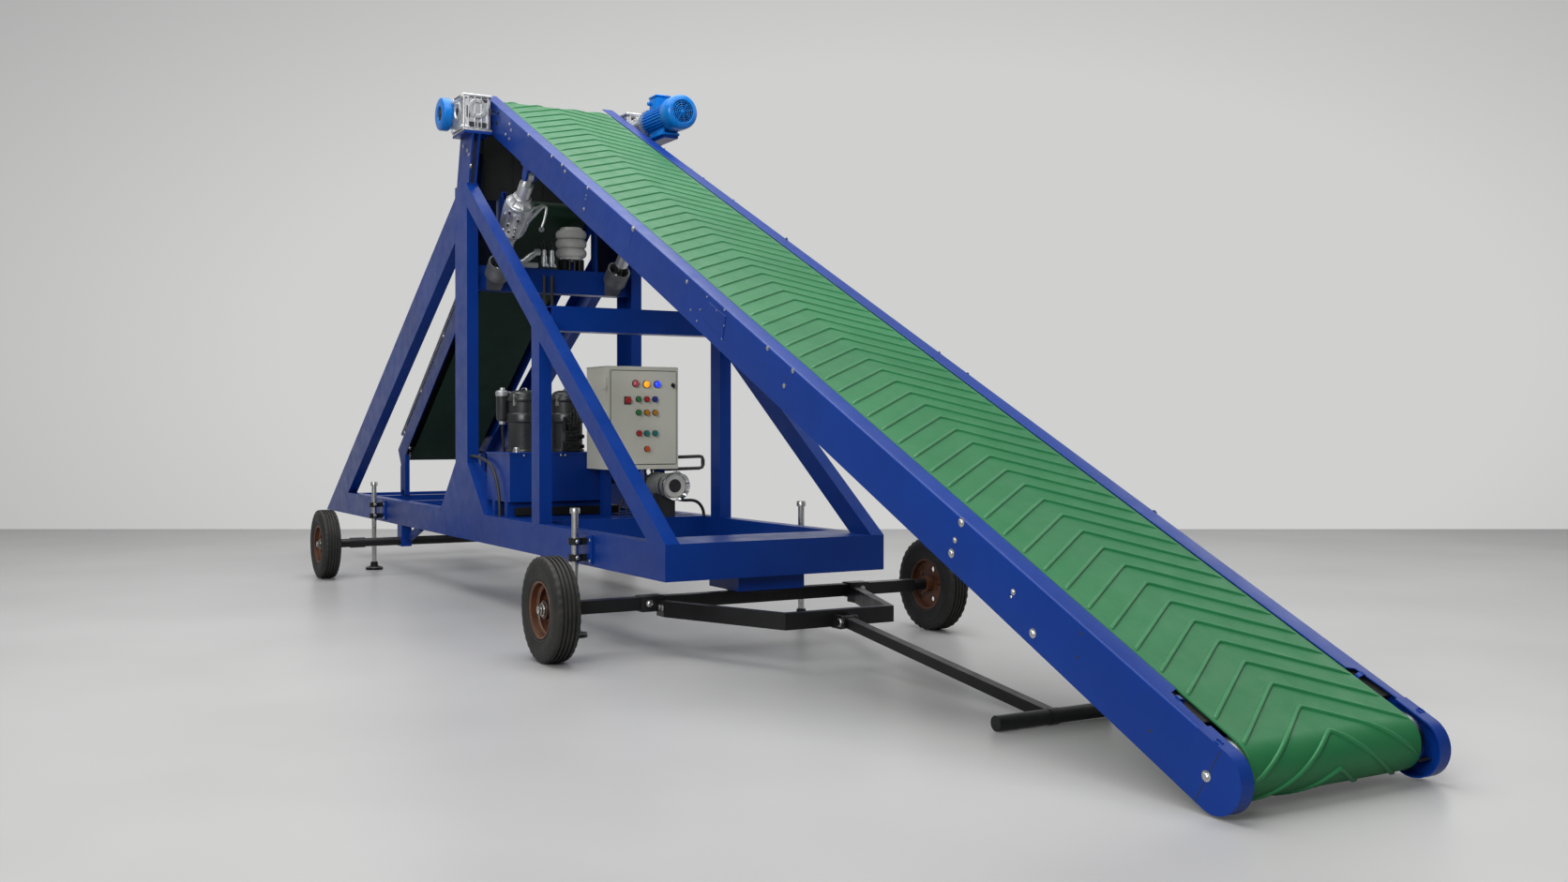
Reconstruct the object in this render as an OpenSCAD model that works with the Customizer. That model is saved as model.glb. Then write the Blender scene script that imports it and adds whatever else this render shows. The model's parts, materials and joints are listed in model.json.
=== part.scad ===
// Mobile bag stacker: a long chevron boom hinged on a braced frame, and a fixed conveyor behind it.
// +X points along the boom to its low end, +Y to the left of someone who looks that way, +Z is up.
// The origin is on the floor, in the middle of the machine's length and width.

/* [Overall] */
// Length from the boom's round nose to the feet of the rear legs
length = 11580; // [11480:10:11680]
// Clearance between the boom's nose and the floor
nose_clear = 10; // [5:1:20]

/* [Wheels] */
// Outer diameter of the tyres
tyre_d = 560; // [550:2:570]
// Width of the tyres
tyre_w = 145; // [140:1:150]
// Diameter over the rim's flanges
rim_d = 330; // [320:2:340]
// Diameter of the wheel spindles
spindle_d = 40; // [36:1:44]
// Distance between the front tyres' middle planes
front_track = 2470; // [2440:10:2500]
// Distance between the rear tyres' middle planes
rear_track = 2600; // [2570:10:2640]

/* [Base frame] */
// Width over the side beams
base_w = 1390; // [1370:5:1410]
// Height of the base frame's underside
base_clear = 415; // [408:1:425]
// Height of the base beams
beam_h = 200; // [190:2:210]
// Thickness of beams, posts, legs and braces across the machine
section_t = 85; // [80:1:90]
// Wall of the box and channel sections
wall = 8; // [6:0.5:10]

/* [Side frames] */
// Width of the main posts and the rear legs
post_w = 280; // [270:2:290]
// Height of the brackets between the posts and the boom's gearboxes
bracket_h = 378; // [365:1:390]
// Depth of the front braces
brace_w = 130; // [124:1:136]
// Width of the short posts
short_post_w = 140; // [130:2:150]

/* [Boom] */
// Slope of the boom at rest
boom_angle = 26; // [25.8:0.1:26.2]
// Distance between the axes of the boom's two pulleys
boom_run = 7785; // [7760:5:7810]
// Distance from the outside of the base frame in to the boom's side plates
boom_inset = 180; // [178:1:185]
// Height of the boom's side plates
boom_h = 220; // [216:1:224]
// Width of the boom's top flanges
flange_w = 100; // [96:1:104]
// Thickness of the conveyor plates
plate_t = 6; // [5:0.5:7]
// Distance from the boom's side plates in to the edges of its belt
belt_inset = 115; // [112:1:120]
// Thickness of the belts
belt_t = 8; // [7:0.5:8.5]
// Diameter of the boom's head shaft, which is also its hinge
shaft_d = 60; // [56:1:64]

/* [Lift cylinders] */
// Diameter of the barrels
barrel_d = 100; // [94:1:104]
// Diameter of the rods
rod_d = 60; // [56:1:62]
// Length of the barrels beyond their pins
barrel_len = 760; // [750:1:770]

/* [Rear conveyor] */
// Height of the rear conveyor's low end over the base frame
rear_end_up = 343; // [330:1:360]
// Distance from the outside of the base frame in to its side plates
rear_inset = 320; // [315:1:325]
// Height of its side plates
rear_h = 170; // [164:1:176]

/* [Jacks] */
// Diameter of the jack tubes
jack_d = 40; // [38:1:42]
// Height of the jacks
jack_top = 760; // [740:2:780]
// Diameter of the jack feet
foot_d = 143; // [138:1:146]

/* [Tow gear] */
// Side of the front axle's square tube
axle_s = 70; // [66:1:74]
// Distance from the front axle to the tow bar's pin
tow_pin_reach = 960; // [950:5:970]
// Distance from the tow bar's pin to its handle
tow_reach = 1564; // [1550:2:1580]
// Diameter of the tow bar's handle
handle_d = 64; // [60:1:66]
// Length of the tow bar's handle
handle_len = 600; // [580:5:620]

/* [Cabinet] */
// Width of the control cabinet
cabinet_w = 528; // [520:2:536]
// Height of the control cabinet
cabinet_h = 706; // [700:2:712]
// Depth of the cabinet's case
cabinet_d = 350; // [344:1:354]

/* [Power pack] */
// Width of the oil tank across the machine
tank_w = 700; // [690:2:710]
// Height of the oil tank
tank_h = 340; // [330:2:350]
// Diameter of the pump motors
pump_d = 250; // [240:2:256]

/* [Hidden] */
$fn = 48;
round_fn = 96;
paint = [0.03, 0.08, 0.36];
green = [0.07, 0.42, 0.16];
black = [0.03, 0.03, 0.03];
zinc = [0.7, 0.7, 0.68];
azure = [0.02, 0.28, 0.62];
silver = [0.62, 0.63, 0.64];
rust = [0.28, 0.15, 0.09];
beige = [0.66, 0.64, 0.56];
dark = [0.12, 0.13, 0.14];
eps = 1;
run_gap = 0.05;
curve_gap = 0.3;
side_gap = 6;
base_top = base_clear + beam_h;
base_y = base_w / 2;
inner_y = base_y - section_t;
boom_w = base_w - 2 * boom_inset;
belt_w = boom_w - 2 * belt_inset;
rear_w = base_w - 2 * rear_inset;
nose_r = boom_h / 2;
tail_x = length / 2 - nose_r;
tail_z = nose_clear + nose_r;
hinge_x = tail_x - boom_run * cos(boom_angle);
hinge_z = tail_z + boom_run * sin(boom_angle);
// Gearboxes beside the boom's head, and the posts below them
gear_h = 310;
gear_w = 220;
gear_half_x = 130;
gear_gap = 15;
gear_in_y = boom_w / 2 + gear_gap;
gear_out_y = gear_in_y + gear_w;
post_back = 103;
post_top = hinge_z - gear_h / 2 - bracket_h;
post_x = hinge_x - post_back;
post_front = post_x + post_w / 2;
post_rear = post_x - post_w / 2;
// Places along the base, ahead of the posts
front_run = 3480;
short_run = 1545;
axle_run = 3220;
jack_run = 2420;
base_front = post_x + front_run;
short_x = post_x + short_run;
front_axle_x = post_x + axle_run;
axle_z = tyre_d / 2;
jack_out = 81;
jack_y = base_y + jack_out;
// Rear legs: upper edge from the post to the foot
leg_step = 60;
leg_top = post_top - leg_step;
leg_foot = -length / 2;
leg_slope = (leg_top - base_clear) / (post_rear - leg_foot);
leg_ang = atan(leg_slope);
leg_drop = post_w / cos(leg_ang);
leg_low = leg_top - leg_drop;
function leg_low_x(z) = post_rear - (leg_low - z) / leg_slope;
// Places along the base behind the posts, as shares of the way to the legs' feet
rear_run = post_x - leg_low_x(base_top);
rear_axle_share = 0.484450;
rear_jack_share = 0.630645;
cradle_share = 0.7883;
last_share = 0.9689;
rear_axle_x = post_x - rear_run * rear_axle_share;
jack_xs = [post_x + jack_run, post_x - rear_run * rear_jack_share];
// Front braces: upper edge from the post's top to the base's front corner
brace_slope = (post_top - base_top) / (base_front - post_front);
brace_drop = brace_w / cos(atan(brace_slope));
function brace_top_z(x) = post_top - brace_slope * (x - post_front);
shoe_h = 360;
shoe_len = 1030;
shoe_w = 210;
upper_beam_w = 140;
upper_beam_drop = 660;
upper_beam_z = post_top - upper_beam_drop;
upper_beam_h = 180;
upper_beam_front = post_x + upper_beam_w / 2;
mid_beam_h = 160;
mid_beam_rise = 20;
mid_beam_z = brace_top_z(short_x) - brace_drop / 2 + mid_beam_rise;
// Cross members: under the cooler, the cabinet, the tank's bearers, the posts, the rear axle, the
// rear conveyor's cradle and the legs
cross_w = 100;
cooler_run = 1320;
stand_run = 1110;
bearer_runs = [560, 820];
cross_xs = [post_x + cooler_run, post_x + stand_run, post_x + bearer_runs[1], post_x + bearer_runs[0],
    post_x, rear_axle_x, post_x - rear_run * cradle_share, post_x - rear_run * last_share];
bolster_w = 350;
// Boom
belt_sink = 22;
pulley_r = nose_r - belt_sink;
boom_head = 155;
cap_len = 130;
shaft_r = shaft_d / 2;
shaft_short = 50;
shaft_out = gear_out_y - shaft_short;
bed_t = 4;
pulley_wall = 8;
pulley_over = 30;
pulley_half = belt_w / 2 + pulley_over;
chevron_step = 133.66;
chevron_half = belt_w / 2;
chevron_rake_share = 0.67;
chevron_lead = chevron_half * chevron_rake_share;
chevron_w = 15;
chevron_h = 6;
chevron_n = floor((boom_run - chevron_lead) / chevron_step);
cap_rim = 58;
tie_w = 80;
tie_n = 9;
tie_step = 900;
lug_x = 896;
lug_drop = 66;
lug_z = -nose_r - lug_drop;
lug_in = 140;
lug_y = inner_y - lug_in;
lug_eye_w = 40;
lug_t = 13;
lug_r = 42;
lug_base_t = 12;
lug_pin_r = 20;
pin_x = hinge_x + lug_x * cos(boom_angle) + lug_z * sin(boom_angle);
pin_z = hinge_z - lug_x * sin(boom_angle) + lug_z * cos(boom_angle);
// Lift cylinders, from the pin on the boom down to the cup on the upper cross beam
cup_r = 88;
cup_bore = 75;
cup_half = 55;
cup_floor = 12;
cup_out = 114;
cup_up = 60;
cup_x = upper_beam_front + cup_out;
cup_z = upper_beam_z + cup_up;
cyl_len = sqrt((pin_x - cup_x) * (pin_x - cup_x) + (pin_z - cup_z) * (pin_z - cup_z));
cyl_ang = atan2(pin_z - cup_z, pin_x - cup_x);
rod_start = 108;
ball_r = 40;
barrel_wall_end = 30;
bell_r = 86;
bell_at = 205;
bell_taper = 110;
bell_len = 190;
bell_end = 50;
// Rear conveyor
rear_ahead = 20;
rear_drop = 70;
rear_top_x = post_x + rear_ahead;
rear_top_z = post_top - rear_drop;
rear_rise = rear_top_z - base_top - rear_end_up;
rear_reach_share = 0.82556;
rear_reach = rear_run * rear_reach_share;
rear_angle = atan(rear_rise / rear_reach);
rear_len = rear_rise / sin(rear_angle);
rear_y = rear_w / 2;
rear_pulley_r = 62;
rear_pulley_in = 80;
rear_pulley_over = 20;
rear_shaft_r = 18;
rear_belt_inset = 75;
rear_belt_w = rear_w - 2 * rear_belt_inset;
rear_lip = 45;
rail_r = 17;
rail_up = 90;
rail_post_r = 10;
rail_in = 30;
rail_y = rear_y - rail_in;
rail_end = 120;
rail_shares = [0.0716, 0.3009, 0.5301, 0.7593, 0.9456];
function rear_low_z(x) = rear_top_z + (x - rear_top_x) * tan(rear_angle) - rear_h / 2 / cos(rear_angle);
rear_post_w = 60;
rear_post_t = 20;
cradle_w = 160;
cradle_t = 40;
cradle_arch = 50;
// Drives
far_motor_in = 125;
far_motor_up = 12;
far_motor_y = gear_in_y + far_motor_in;
far_motor_z = hinge_z + far_motor_up;
lantern_r = 90;
motor_r = 108;
fan_r = 126;
lantern_run = 340;
fan_run = 715;
motor_run = 855;
lantern_x = hinge_x + lantern_run;
fan_x = hinge_x + fan_run;
motor_end_x = hinge_x + motor_run;
fin_n = 24;
fin_t = 5;
fin_in = 10;
fin_end = 15;
hub_ring_r = 70;
hub_ring_t = 10;
box_at = 90;
box_h = 62;
box_len = 150;
box_w = 110;
foot_in = 60;
foot_h = 26;
console_in = 70;
console_y = gear_in_y + console_in;
console_t = 110;
near_motor_back = 223;
near_motor_up = 17;
near_motor_x = hinge_x - near_motor_back;
near_motor_z = hinge_z + near_motor_up;
near_motor_r = 120;
near_motor_len = 70;
near_stage_r = 105;
near_stage_y = gear_out_y;
// Front axle and tow gear
spindle_r = spindle_d / 2;
hub_in = 70;
hub_out = 40;
hub_r = 48;
shoulder_r = 34;
shoulder_len = 90;
nut_r = 27;
nut_t = 20;
axle_end = front_track / 2 - hub_in - shoulder_len;
ring_r = 170;
ring_t = 9;
king_r = 25;
king_h = 60;
turn_len = 350;
turn_w = 420;
turn_bottom = axle_z + axle_s / 2 + ring_t + side_gap;
bar_h = 85;
bar_t = 50;
bar_drop = 25;
bar_z = axle_z - bar_drop;
bar_rear_y = 640;
bar_front_y = 330;
pin_ahead = 70;
bar_front_x = front_axle_x + tow_pin_reach - pin_ahead;
bracket_len = 90;
tow_pin_x = front_axle_x + tow_pin_reach;
tow_pin_drop = 13;
tow_pin_z = bar_z - tow_pin_drop;
tow_pin_r = 15;
tow_eye_r = 34;
tow_eye_w = 56;
tow_s = 50;
clevis_t = 14;
clevis_h = 70;
handle_clear = 3;
handle_z = handle_d / 2 + handle_clear;
collar_up = 2;
tow_ang = atan2(tow_pin_z - handle_z, tow_reach);
tow_len = sqrt(tow_reach * tow_reach + (tow_pin_z - handle_z) * (tow_pin_z - handle_z));
// Rear axle
rear_tube_r = 35;
sleeve_r = 42;
sleeve_len = 120;
hanger_len = 130;
stay_run = 420;
stay_t = 40;
stay_h = 50;
// Cabinet
sheet = 10;
door_t = 22;
cab_run = 1295;
cab_side = 81;
cab_up = 330;
cab_face = post_x + cab_run;
cab_y0 = -cab_side;
cab_z0 = base_top + cab_up;
cab_front = cab_face - door_t - side_gap;
cab_rear = cab_front - cabinet_d;
pivot_out = 14;
pivot_x = cab_face - door_t / 2;
pivot_y = cab_y0 - pivot_out;
pivot_r = 5;
knuckle_r = 10;
knuckle_h = 60;
knuckle_shares = [0.15, 0.85];
stand_s = 60;
stand_x = cross_xs[1];
stand_ys = [cab_y0 + stand_s, cab_y0 + cabinet_w - stand_s];
cooler_r = 80;
cooler_len = 340;
cooler_back = 170;
cooler_in = 283;
cooler_up = 219;
cooler_x = cross_xs[0] - cooler_back;
cooler_y = inner_y - cooler_in;
cooler_z = base_top + cooler_up;
// Power pack
tank_len = 480;
tank_run = 420;
tank_over = 30;
tank_up = 105;
tank_x = post_x + tank_run;
tank_y = -inner_y - tank_over;
tank_z = base_top + tank_up;
lid_over = 6;
lid_t = 14;
bearer_w = 60;
bearer_xs = [cross_xs[3], cross_xs[2]];
pump_h = 450;
pump_step = 9;
pump_foot = 24;
pump_band = 16;
pump_band_share = 0.62;
pump_lid = 70;
pump_runs = [170, 260];
pump_ins = [240, 570];
pump_xs = [tank_x + pump_runs[0], tank_x + pump_runs[1]];
pump_ys = [tank_y + pump_ins[0], tank_y + pump_ins[1]];
valve_len = 250;
valve_w = 180;
valve_h = 230;
acc_r = 100;
acc_len = 300;
acc_gap = 55;
acc_y1 = rear_y - acc_gap;
acc_y0 = acc_y1 - acc_len;
acc_up = 220;
acc_z = upper_beam_z + upper_beam_h / 2 + acc_up;
saddle_w = 60;
hose_r = 13;
hose_ys = [-90, -30];
elbow_r = 17;
// Wheels
bead_depth = 15;
bead_in = 22;
bead_step = 2;
bead_rise = 14;
bead_lean = 4;
bulge_at = 50;
shoulder_at = 28;
shoulder_in = 6;
edge_at = 8;
edge_in = 16;
tread_in = 26;
bead_r = rim_d / 2 - bead_depth;
bead_half = tyre_w / 2 - bead_in;
groove_w = 7;
groove_d = 8;
rib_w = 15;
rim_flange = 6;
rim_wall = 8;
disc_t = 10;
disc_at = -25;
hole_r = 17;
hole_at = 95;
hole_n = 5;

// Box between two corners
module span(x0, x1, y0, y1, z0, z1) {
  translate([x0, y0, z0]) cube([x1 - x0, y1 - y0, z1 - z0]);
}

// Both sides: the left one as drawn, and its mirror image
module both() {
  children();
  mirror([0, 1, 0]) children();
}

// Outline in the XZ plane, from y0 to y1
module slab(points, y0, y1) {
  translate([0, y1, 0]) rotate([90, 0, 0]) linear_extrude(y1 - y0) polygon(points);
}

module bar_y(r, y0, y1) {
  translate([0, y0, 0]) rotate([-90, 0, 0]) cylinder(r = r, h = y1 - y0);
}

module bar_x(r, x0, x1) {
  translate([x0, 0, 0]) rotate([0, 90, 0]) cylinder(r = r, h = x1 - x0);
}

module in_boom() {
  translate([hinge_x, 0, hinge_z]) rotate([0, boom_angle, 0]) children();
}

module in_rear() {
  translate([rear_top_x, 0, rear_top_z]) rotate([0, -rear_angle, 0]) children();
}

// From the pin on the boom toward the cup on the cross beam
module in_cylinder() {
  translate([pin_x, lug_y, pin_z]) rotate([0, 180 - cyl_ang, 0]) children();
}

// Round-ended loop between two pulleys on the local x axis
module stadium(x0, x1, r, half) {
  span(x0, x1, -half, half, -r, r);
  for (x = [x0, x1]) translate([x, 0, 0]) bar_y(r, -half, half);
}

module side_beams() color(paint) both() difference() {
  slab([[leg_low_x(base_clear), base_clear], [base_front - section_t, base_clear],
      [base_front - section_t, base_top], [leg_low_x(base_top), base_top]], inner_y, base_y);
  slab([[leg_low_x(base_clear) - length, base_clear + wall], [base_front, base_clear + wall],
      [base_front, base_top - wall], [leg_low_x(base_top) - length, base_top - wall]],
      inner_y + wall, base_y - wall);
}

module front_beam() color(paint) difference() {
  span(base_front - section_t, base_front, -base_y, base_y, base_clear, base_top);
  span(base_front - section_t - eps, base_front - wall, -base_y + wall, base_y - wall,
      base_clear + wall, base_top - wall);
}

module cross_members() color(paint) {
  for (x = cross_xs) translate([x, 0, 0]) cross_member(cross_w);
  translate([front_axle_x, 0, 0]) cross_member(bolster_w);
}

module cross_member(w) {
  difference() {
    span(-w / 2, w / 2, -inner_y, inner_y, base_clear, base_top);
    span(-w / 2 + wall, w / 2 - wall, -inner_y - eps, inner_y + eps,
        base_clear + wall, base_top - wall);
  }
}

module shoe(t, sunk) {
  intersection() {
    slab([[post_x - shoe_len / 2 + t, base_top - sunk], [post_x + shoe_len / 2 - t, base_top - sunk],
        [post_front - t, base_top + shoe_h - t], [post_rear + t, base_top + shoe_h - t]],
        0, base_w);
    translate([post_x - shoe_len, 0, 0]) rotate([90, 0, 90]) linear_extrude(2 * shoe_len)
      polygon([[base_y - shoe_w + t, base_top - sunk], [base_y - t, base_top - sunk],
        [base_y - t, base_top + shoe_h - t], [inner_y + t, base_top + shoe_h - t]]);
  }
}

module post_shoes() color(paint) both() difference() {
  shoe(0, 0);
  shoe(wall, eps);
}

module main_posts() color(paint) both() difference() {
  span(post_rear, post_front, inner_y, base_y, base_top + shoe_h, post_top);
  span(post_rear + wall, post_front - wall, inner_y - eps, base_y - wall,
      base_top + shoe_h - eps, post_top - wall);
}

module rear_legs() color(paint) both() difference() {
  slab([[post_rear, leg_top], [leg_foot, base_clear],
      [leg_low_x(base_clear), base_clear], [post_rear, leg_low]], inner_y, base_y);
  slab([[post_rear + post_w, leg_top + post_w * leg_slope - wall / cos(leg_ang)],
      [leg_foot - post_w, base_clear - post_w * leg_slope - wall / cos(leg_ang)],
      [leg_low_x(base_clear) - post_w, base_clear - post_w * leg_slope + wall / cos(leg_ang)],
      [post_rear + post_w, leg_low + post_w * leg_slope + wall / cos(leg_ang)]],
      inner_y - eps, base_y - wall);
}

module front_braces() color(paint) both() difference() {
  slab([[post_front, post_top], [base_front, base_top],
      [base_front - brace_drop / brace_slope, base_top], [post_front, post_top - brace_drop]],
      inner_y, base_y);
  slab([[post_front - brace_w, brace_top_z(post_front - brace_w) - 2 * wall],
      [base_front + brace_w, brace_top_z(base_front + brace_w) - 2 * wall],
      [base_front + brace_w, brace_top_z(base_front + brace_w) - brace_drop + 2 * wall],
      [post_front - brace_w, brace_top_z(post_front - brace_w) - brace_drop + 2 * wall]],
      inner_y + wall, base_y - wall);
}

module short_posts() color(paint) both() difference() {
  slab([[short_x - short_post_w / 2, base_top], [short_x + short_post_w / 2, base_top],
      [short_x + short_post_w / 2, brace_top_z(short_x + short_post_w / 2) - brace_drop],
      [short_x - short_post_w / 2, brace_top_z(short_x - short_post_w / 2) - brace_drop]],
      inner_y, base_y);
  span(short_x - short_post_w / 2 + wall, short_x + short_post_w / 2 - wall,
      inner_y + wall, base_y - wall, base_top - eps, post_top);
}

module cross_beams() color(paint) {
  difference() {
    span(post_x - upper_beam_w / 2, upper_beam_front, -inner_y, inner_y,
        upper_beam_z - upper_beam_h / 2, upper_beam_z + upper_beam_h / 2);
    span(post_x - upper_beam_w / 2 + wall, upper_beam_front - wall, -base_y, base_y,
        upper_beam_z - upper_beam_h / 2 + wall, upper_beam_z + upper_beam_h / 2 - wall);
  }
  difference() {
    span(short_x - short_post_w / 2, short_x + short_post_w / 2, -inner_y, inner_y,
        mid_beam_z - mid_beam_h / 2, mid_beam_z + mid_beam_h / 2);
    span(short_x - short_post_w / 2 + wall, short_x + short_post_w / 2 - wall, -base_y, base_y,
        mid_beam_z - mid_beam_h / 2 + wall, mid_beam_z + mid_beam_h / 2 - wall);
  }
}

// Two plates with a foot and a seat for the gearbox
module head_bracket() {
  seat = hinge_z - gear_h / 2;
  seat_t = 2 * wall;
  for (y = [inner_y + 1.5 * wall, base_y - 3 * wall])
    slab([[post_rear, post_top], [post_front, post_top],
        [hinge_x + gear_half_x + wall, seat - seat_t], [hinge_x - gear_half_x - 2 * wall, seat - seat_t]],
        y, y + 1.5 * wall);
  span(post_rear, post_front, inner_y, base_y, post_top, post_top + seat_t);
  span(hinge_x - gear_half_x - 2 * wall, hinge_x + gear_half_x + wall,
      gear_in_y + wall, gear_out_y - wall, seat - seat_t, seat);
}

module head_brackets() color(paint) {
  mirror([0, 1, 0]) head_bracket();
  head_bracket();
  motor_console();
}

// Arm from the left bracket out to the long motor's feet
module motor_console() {
  top = far_motor_z - fan_r - foot_h;
  slab([[hinge_x + gear_half_x - 2 * wall, top - 5 * wall], [lantern_x + foot_in, top - 3 * wall],
      [fan_x - foot_in, top - 3 * wall], [fan_x - foot_in, top], [lantern_x + foot_in, top],
      [hinge_x + gear_half_x - 2 * wall, top - 2 * wall]],
      console_y, console_y + console_t);
}

module gearbox() {
  difference() {
    union() {
      span(hinge_x - gear_half_x, hinge_x + gear_half_x, gear_in_y, gear_out_y,
          hinge_z - gear_h / 2, hinge_z + gear_h / 2);
      translate([hinge_x, 0, hinge_z]) bar_y(hub_ring_r, gear_in_y + gear_gap, gear_out_y + hub_ring_t);
      children();
    }
    translate([hinge_x, 0, hinge_z]) bar_y(shaft_r + run_gap, gear_in_y - eps, gear_out_y - 4 * wall);
  }
}

module gearboxes() color(silver) {
  gearbox() translate([0, far_motor_y, far_motor_z])
    bar_x(lantern_r, hinge_x + gear_half_x - eps, lantern_x);
  mirror([0, 1, 0]) gearbox() translate([near_motor_x, 0, near_motor_z])
    bar_y(near_stage_r, gear_in_y + 5 * wall, near_stage_y);
}

module drive_motors() color(azure) {
  translate([0, far_motor_y, far_motor_z]) {
    bar_x(motor_r - fin_in, lantern_x + run_gap, fan_x);
    for (i = [0:fin_n - 1]) rotate([i * 360 / fin_n, 0, 0])
      span(lantern_x + fin_end, fan_x - fin_end, -fin_t / 2, fin_t / 2, 0, motor_r);
    bar_x(fan_r, fan_x, motor_end_x);
    span(lantern_x + box_at, lantern_x + box_at + box_len, -box_w / 2, box_w / 2, 0, motor_r + box_h);
    span(lantern_x + foot_in, fan_x - foot_in, -console_t / 2, console_t / 2, -fan_r - foot_h, 0);
  }
  mirror([0, 1, 0]) translate([near_motor_x, 0, near_motor_z])
    bar_y(near_motor_r, near_stage_y + run_gap, near_stage_y + near_motor_len);
}

module cylinder_cups() color(silver) both() difference() {
  union() {
    in_cylinder() bar_x(cup_r, cyl_len - cup_half, cyl_len + cup_half + cup_floor);
    slab([[upper_beam_front, upper_beam_z - upper_beam_h / 2], [upper_beam_front, cup_z],
        [cup_x - cup_half * cos(cyl_ang), cup_z - cup_half * sin(cyl_ang)],
        [cup_x + cup_half * sin(cyl_ang) - cup_half * cos(cyl_ang),
        cup_z - cup_half * cos(cyl_ang) - cup_half * sin(cyl_ang)]],
        lug_y - cup_half, lug_y + cup_half);
  }
  in_cylinder() bar_x(cup_bore, cyl_len - cup_half - eps, cyl_len + cup_half);
}

module rear_plates() color(paint) in_rear() both() {
  span(-rear_len, 0, rear_y - plate_t, rear_y, -rear_h / 2, rear_h / 2);
  span(-rear_len, 0, rear_y - rear_lip, rear_y - plate_t, rear_h / 2 - plate_t, rear_h / 2);
}

module rear_bed() color(dark) in_rear()
  span(-rear_len + 3 * rear_pulley_in, -3 * rear_pulley_in, -rear_y + plate_t, rear_y - plate_t,
      rear_pulley_r - bed_t - eps, rear_pulley_r - eps);

module rear_belt() color(green) in_rear() difference() {
  stadium(-rear_len + rear_pulley_in, -rear_pulley_in, rear_pulley_r + belt_t, rear_belt_w / 2);
  stadium(-rear_len + rear_pulley_in, -rear_pulley_in, rear_pulley_r, rear_belt_w / 2 + eps);
}

// Tube drum with two pierced discs on a shaft
module drum(r, half, sr, reach) {
  difference() {
    bar_y(r, -half, half);
    bar_y(r - pulley_wall, -half - eps, -half + 5 * pulley_wall);
    bar_y(r - pulley_wall, half - 5 * pulley_wall, half + eps);
    bar_y(r - pulley_wall, -half + 6 * pulley_wall, half - 6 * pulley_wall);
    for (a = [0:90:270]) rotate([0, a, 0]) translate([r / 2 + sr / 3, 0, 0])
      bar_y(r / 6, -half, half);
  }
  bar_y(sr, -reach, reach);
}

module rear_pulleys() color(zinc) in_rear()
  for (x = [-rear_len + rear_pulley_in, -rear_pulley_in]) translate([x, 0, 0])
    drum(rear_pulley_r - curve_gap, rear_belt_w / 2 + rear_pulley_over, rear_shaft_r, rear_y - plate_t);

module guard_rails() color(zinc) in_rear() both() {
  translate([0, rail_y, rear_h / 2 + rail_up])
    bar_x(rail_r, -rear_len + rail_end, -rail_end);
  for (share = rail_shares) translate([-rear_len * share, rail_y, rear_h / 2])
    cylinder(r = rail_post_r, h = rail_up);
}

module rear_supports() color(paint) both() {
  slab([[post_x - rear_post_w / 2, upper_beam_z + upper_beam_h / 2],
      [post_x + rear_post_w / 2, upper_beam_z + upper_beam_h / 2],
      [rear_top_x, rear_low_z(rear_top_x)],
      [post_x - rear_post_w / 2, rear_low_z(post_x - rear_post_w / 2)]],
      rear_y - rear_post_t, rear_y);
  difference() {
    slab([[cross_xs[6] - cradle_w / 2, base_top], [cross_xs[6] + cradle_w / 2, base_top],
        [cross_xs[6] + cradle_w / 2, rear_low_z(cross_xs[6] + cradle_w / 2)],
        [cross_xs[6] - cradle_w / 2, rear_low_z(cross_xs[6] - cradle_w / 2)]],
        rear_y - cradle_t, rear_y);
    translate([cross_xs[6], 0, base_top]) bar_y(cradle_arch, 0, base_w);
  }
}

module oil_tank() color(paint) {
  difference() {
    span(tank_x, tank_x + tank_len, tank_y, tank_y + tank_w, tank_z, tank_z + tank_h);
    span(tank_x + wall, tank_x + tank_len - wall, tank_y + wall, tank_y + tank_w - wall,
        tank_z - eps, tank_z + tank_h - wall);
  }
  difference() {
    span(tank_x - lid_over, tank_x + tank_len + lid_over, tank_y - lid_over, tank_y + tank_w,
        tank_z + tank_h - lid_t, tank_z + tank_h);
    span(tank_x + wall, tank_x + tank_len - wall, tank_y + wall, tank_y + tank_w - wall,
        tank_z, tank_z + tank_h - wall);
  }
  for (x = bearer_xs)
    span(x - bearer_w / 2, x + bearer_w / 2, tank_y, tank_y + tank_w, base_top, tank_z + wall);
}

module pump_motors() color(dark)
  for (i = [0, 1]) translate([pump_xs[i], pump_ys[i], tank_z + tank_h])
    rotate_extrude() polygon([[0, 0], [pump_d / 2, 0], [pump_d / 2, pump_foot],
        [pump_d / 2 - pump_step, pump_foot], [pump_d / 2 - pump_step, pump_h * pump_band_share],
        [pump_d / 2, pump_h * pump_band_share], [pump_d / 2, pump_h * pump_band_share + pump_band],
        [pump_d / 2 - pump_step, pump_h * pump_band_share + pump_band],
        [pump_d / 2 - pump_step, pump_h - pump_lid], [pump_d / 2, pump_h - pump_lid],
        [pump_d / 2, pump_h - pump_band], [pump_d / 2 - pump_band, pump_h], [0, pump_h]]);

module valve_block() color(black)
  span(tank_x + tank_len - valve_len, tank_x + tank_len, tank_y + tank_w,
      tank_y + tank_w + valve_w, tank_z + tank_h - valve_h, tank_z + tank_h);

module accumulator() color(silver) {
  translate([post_x, 0, acc_z]) bar_y(acc_r, acc_y0, acc_y1);
  for (y = [acc_y0 + saddle_w, acc_y1 - 2 * saddle_w])
    span(post_x - saddle_w, post_x + saddle_w, y, y + saddle_w,
        upper_beam_z + upper_beam_h / 2, acc_z);
}

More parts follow.
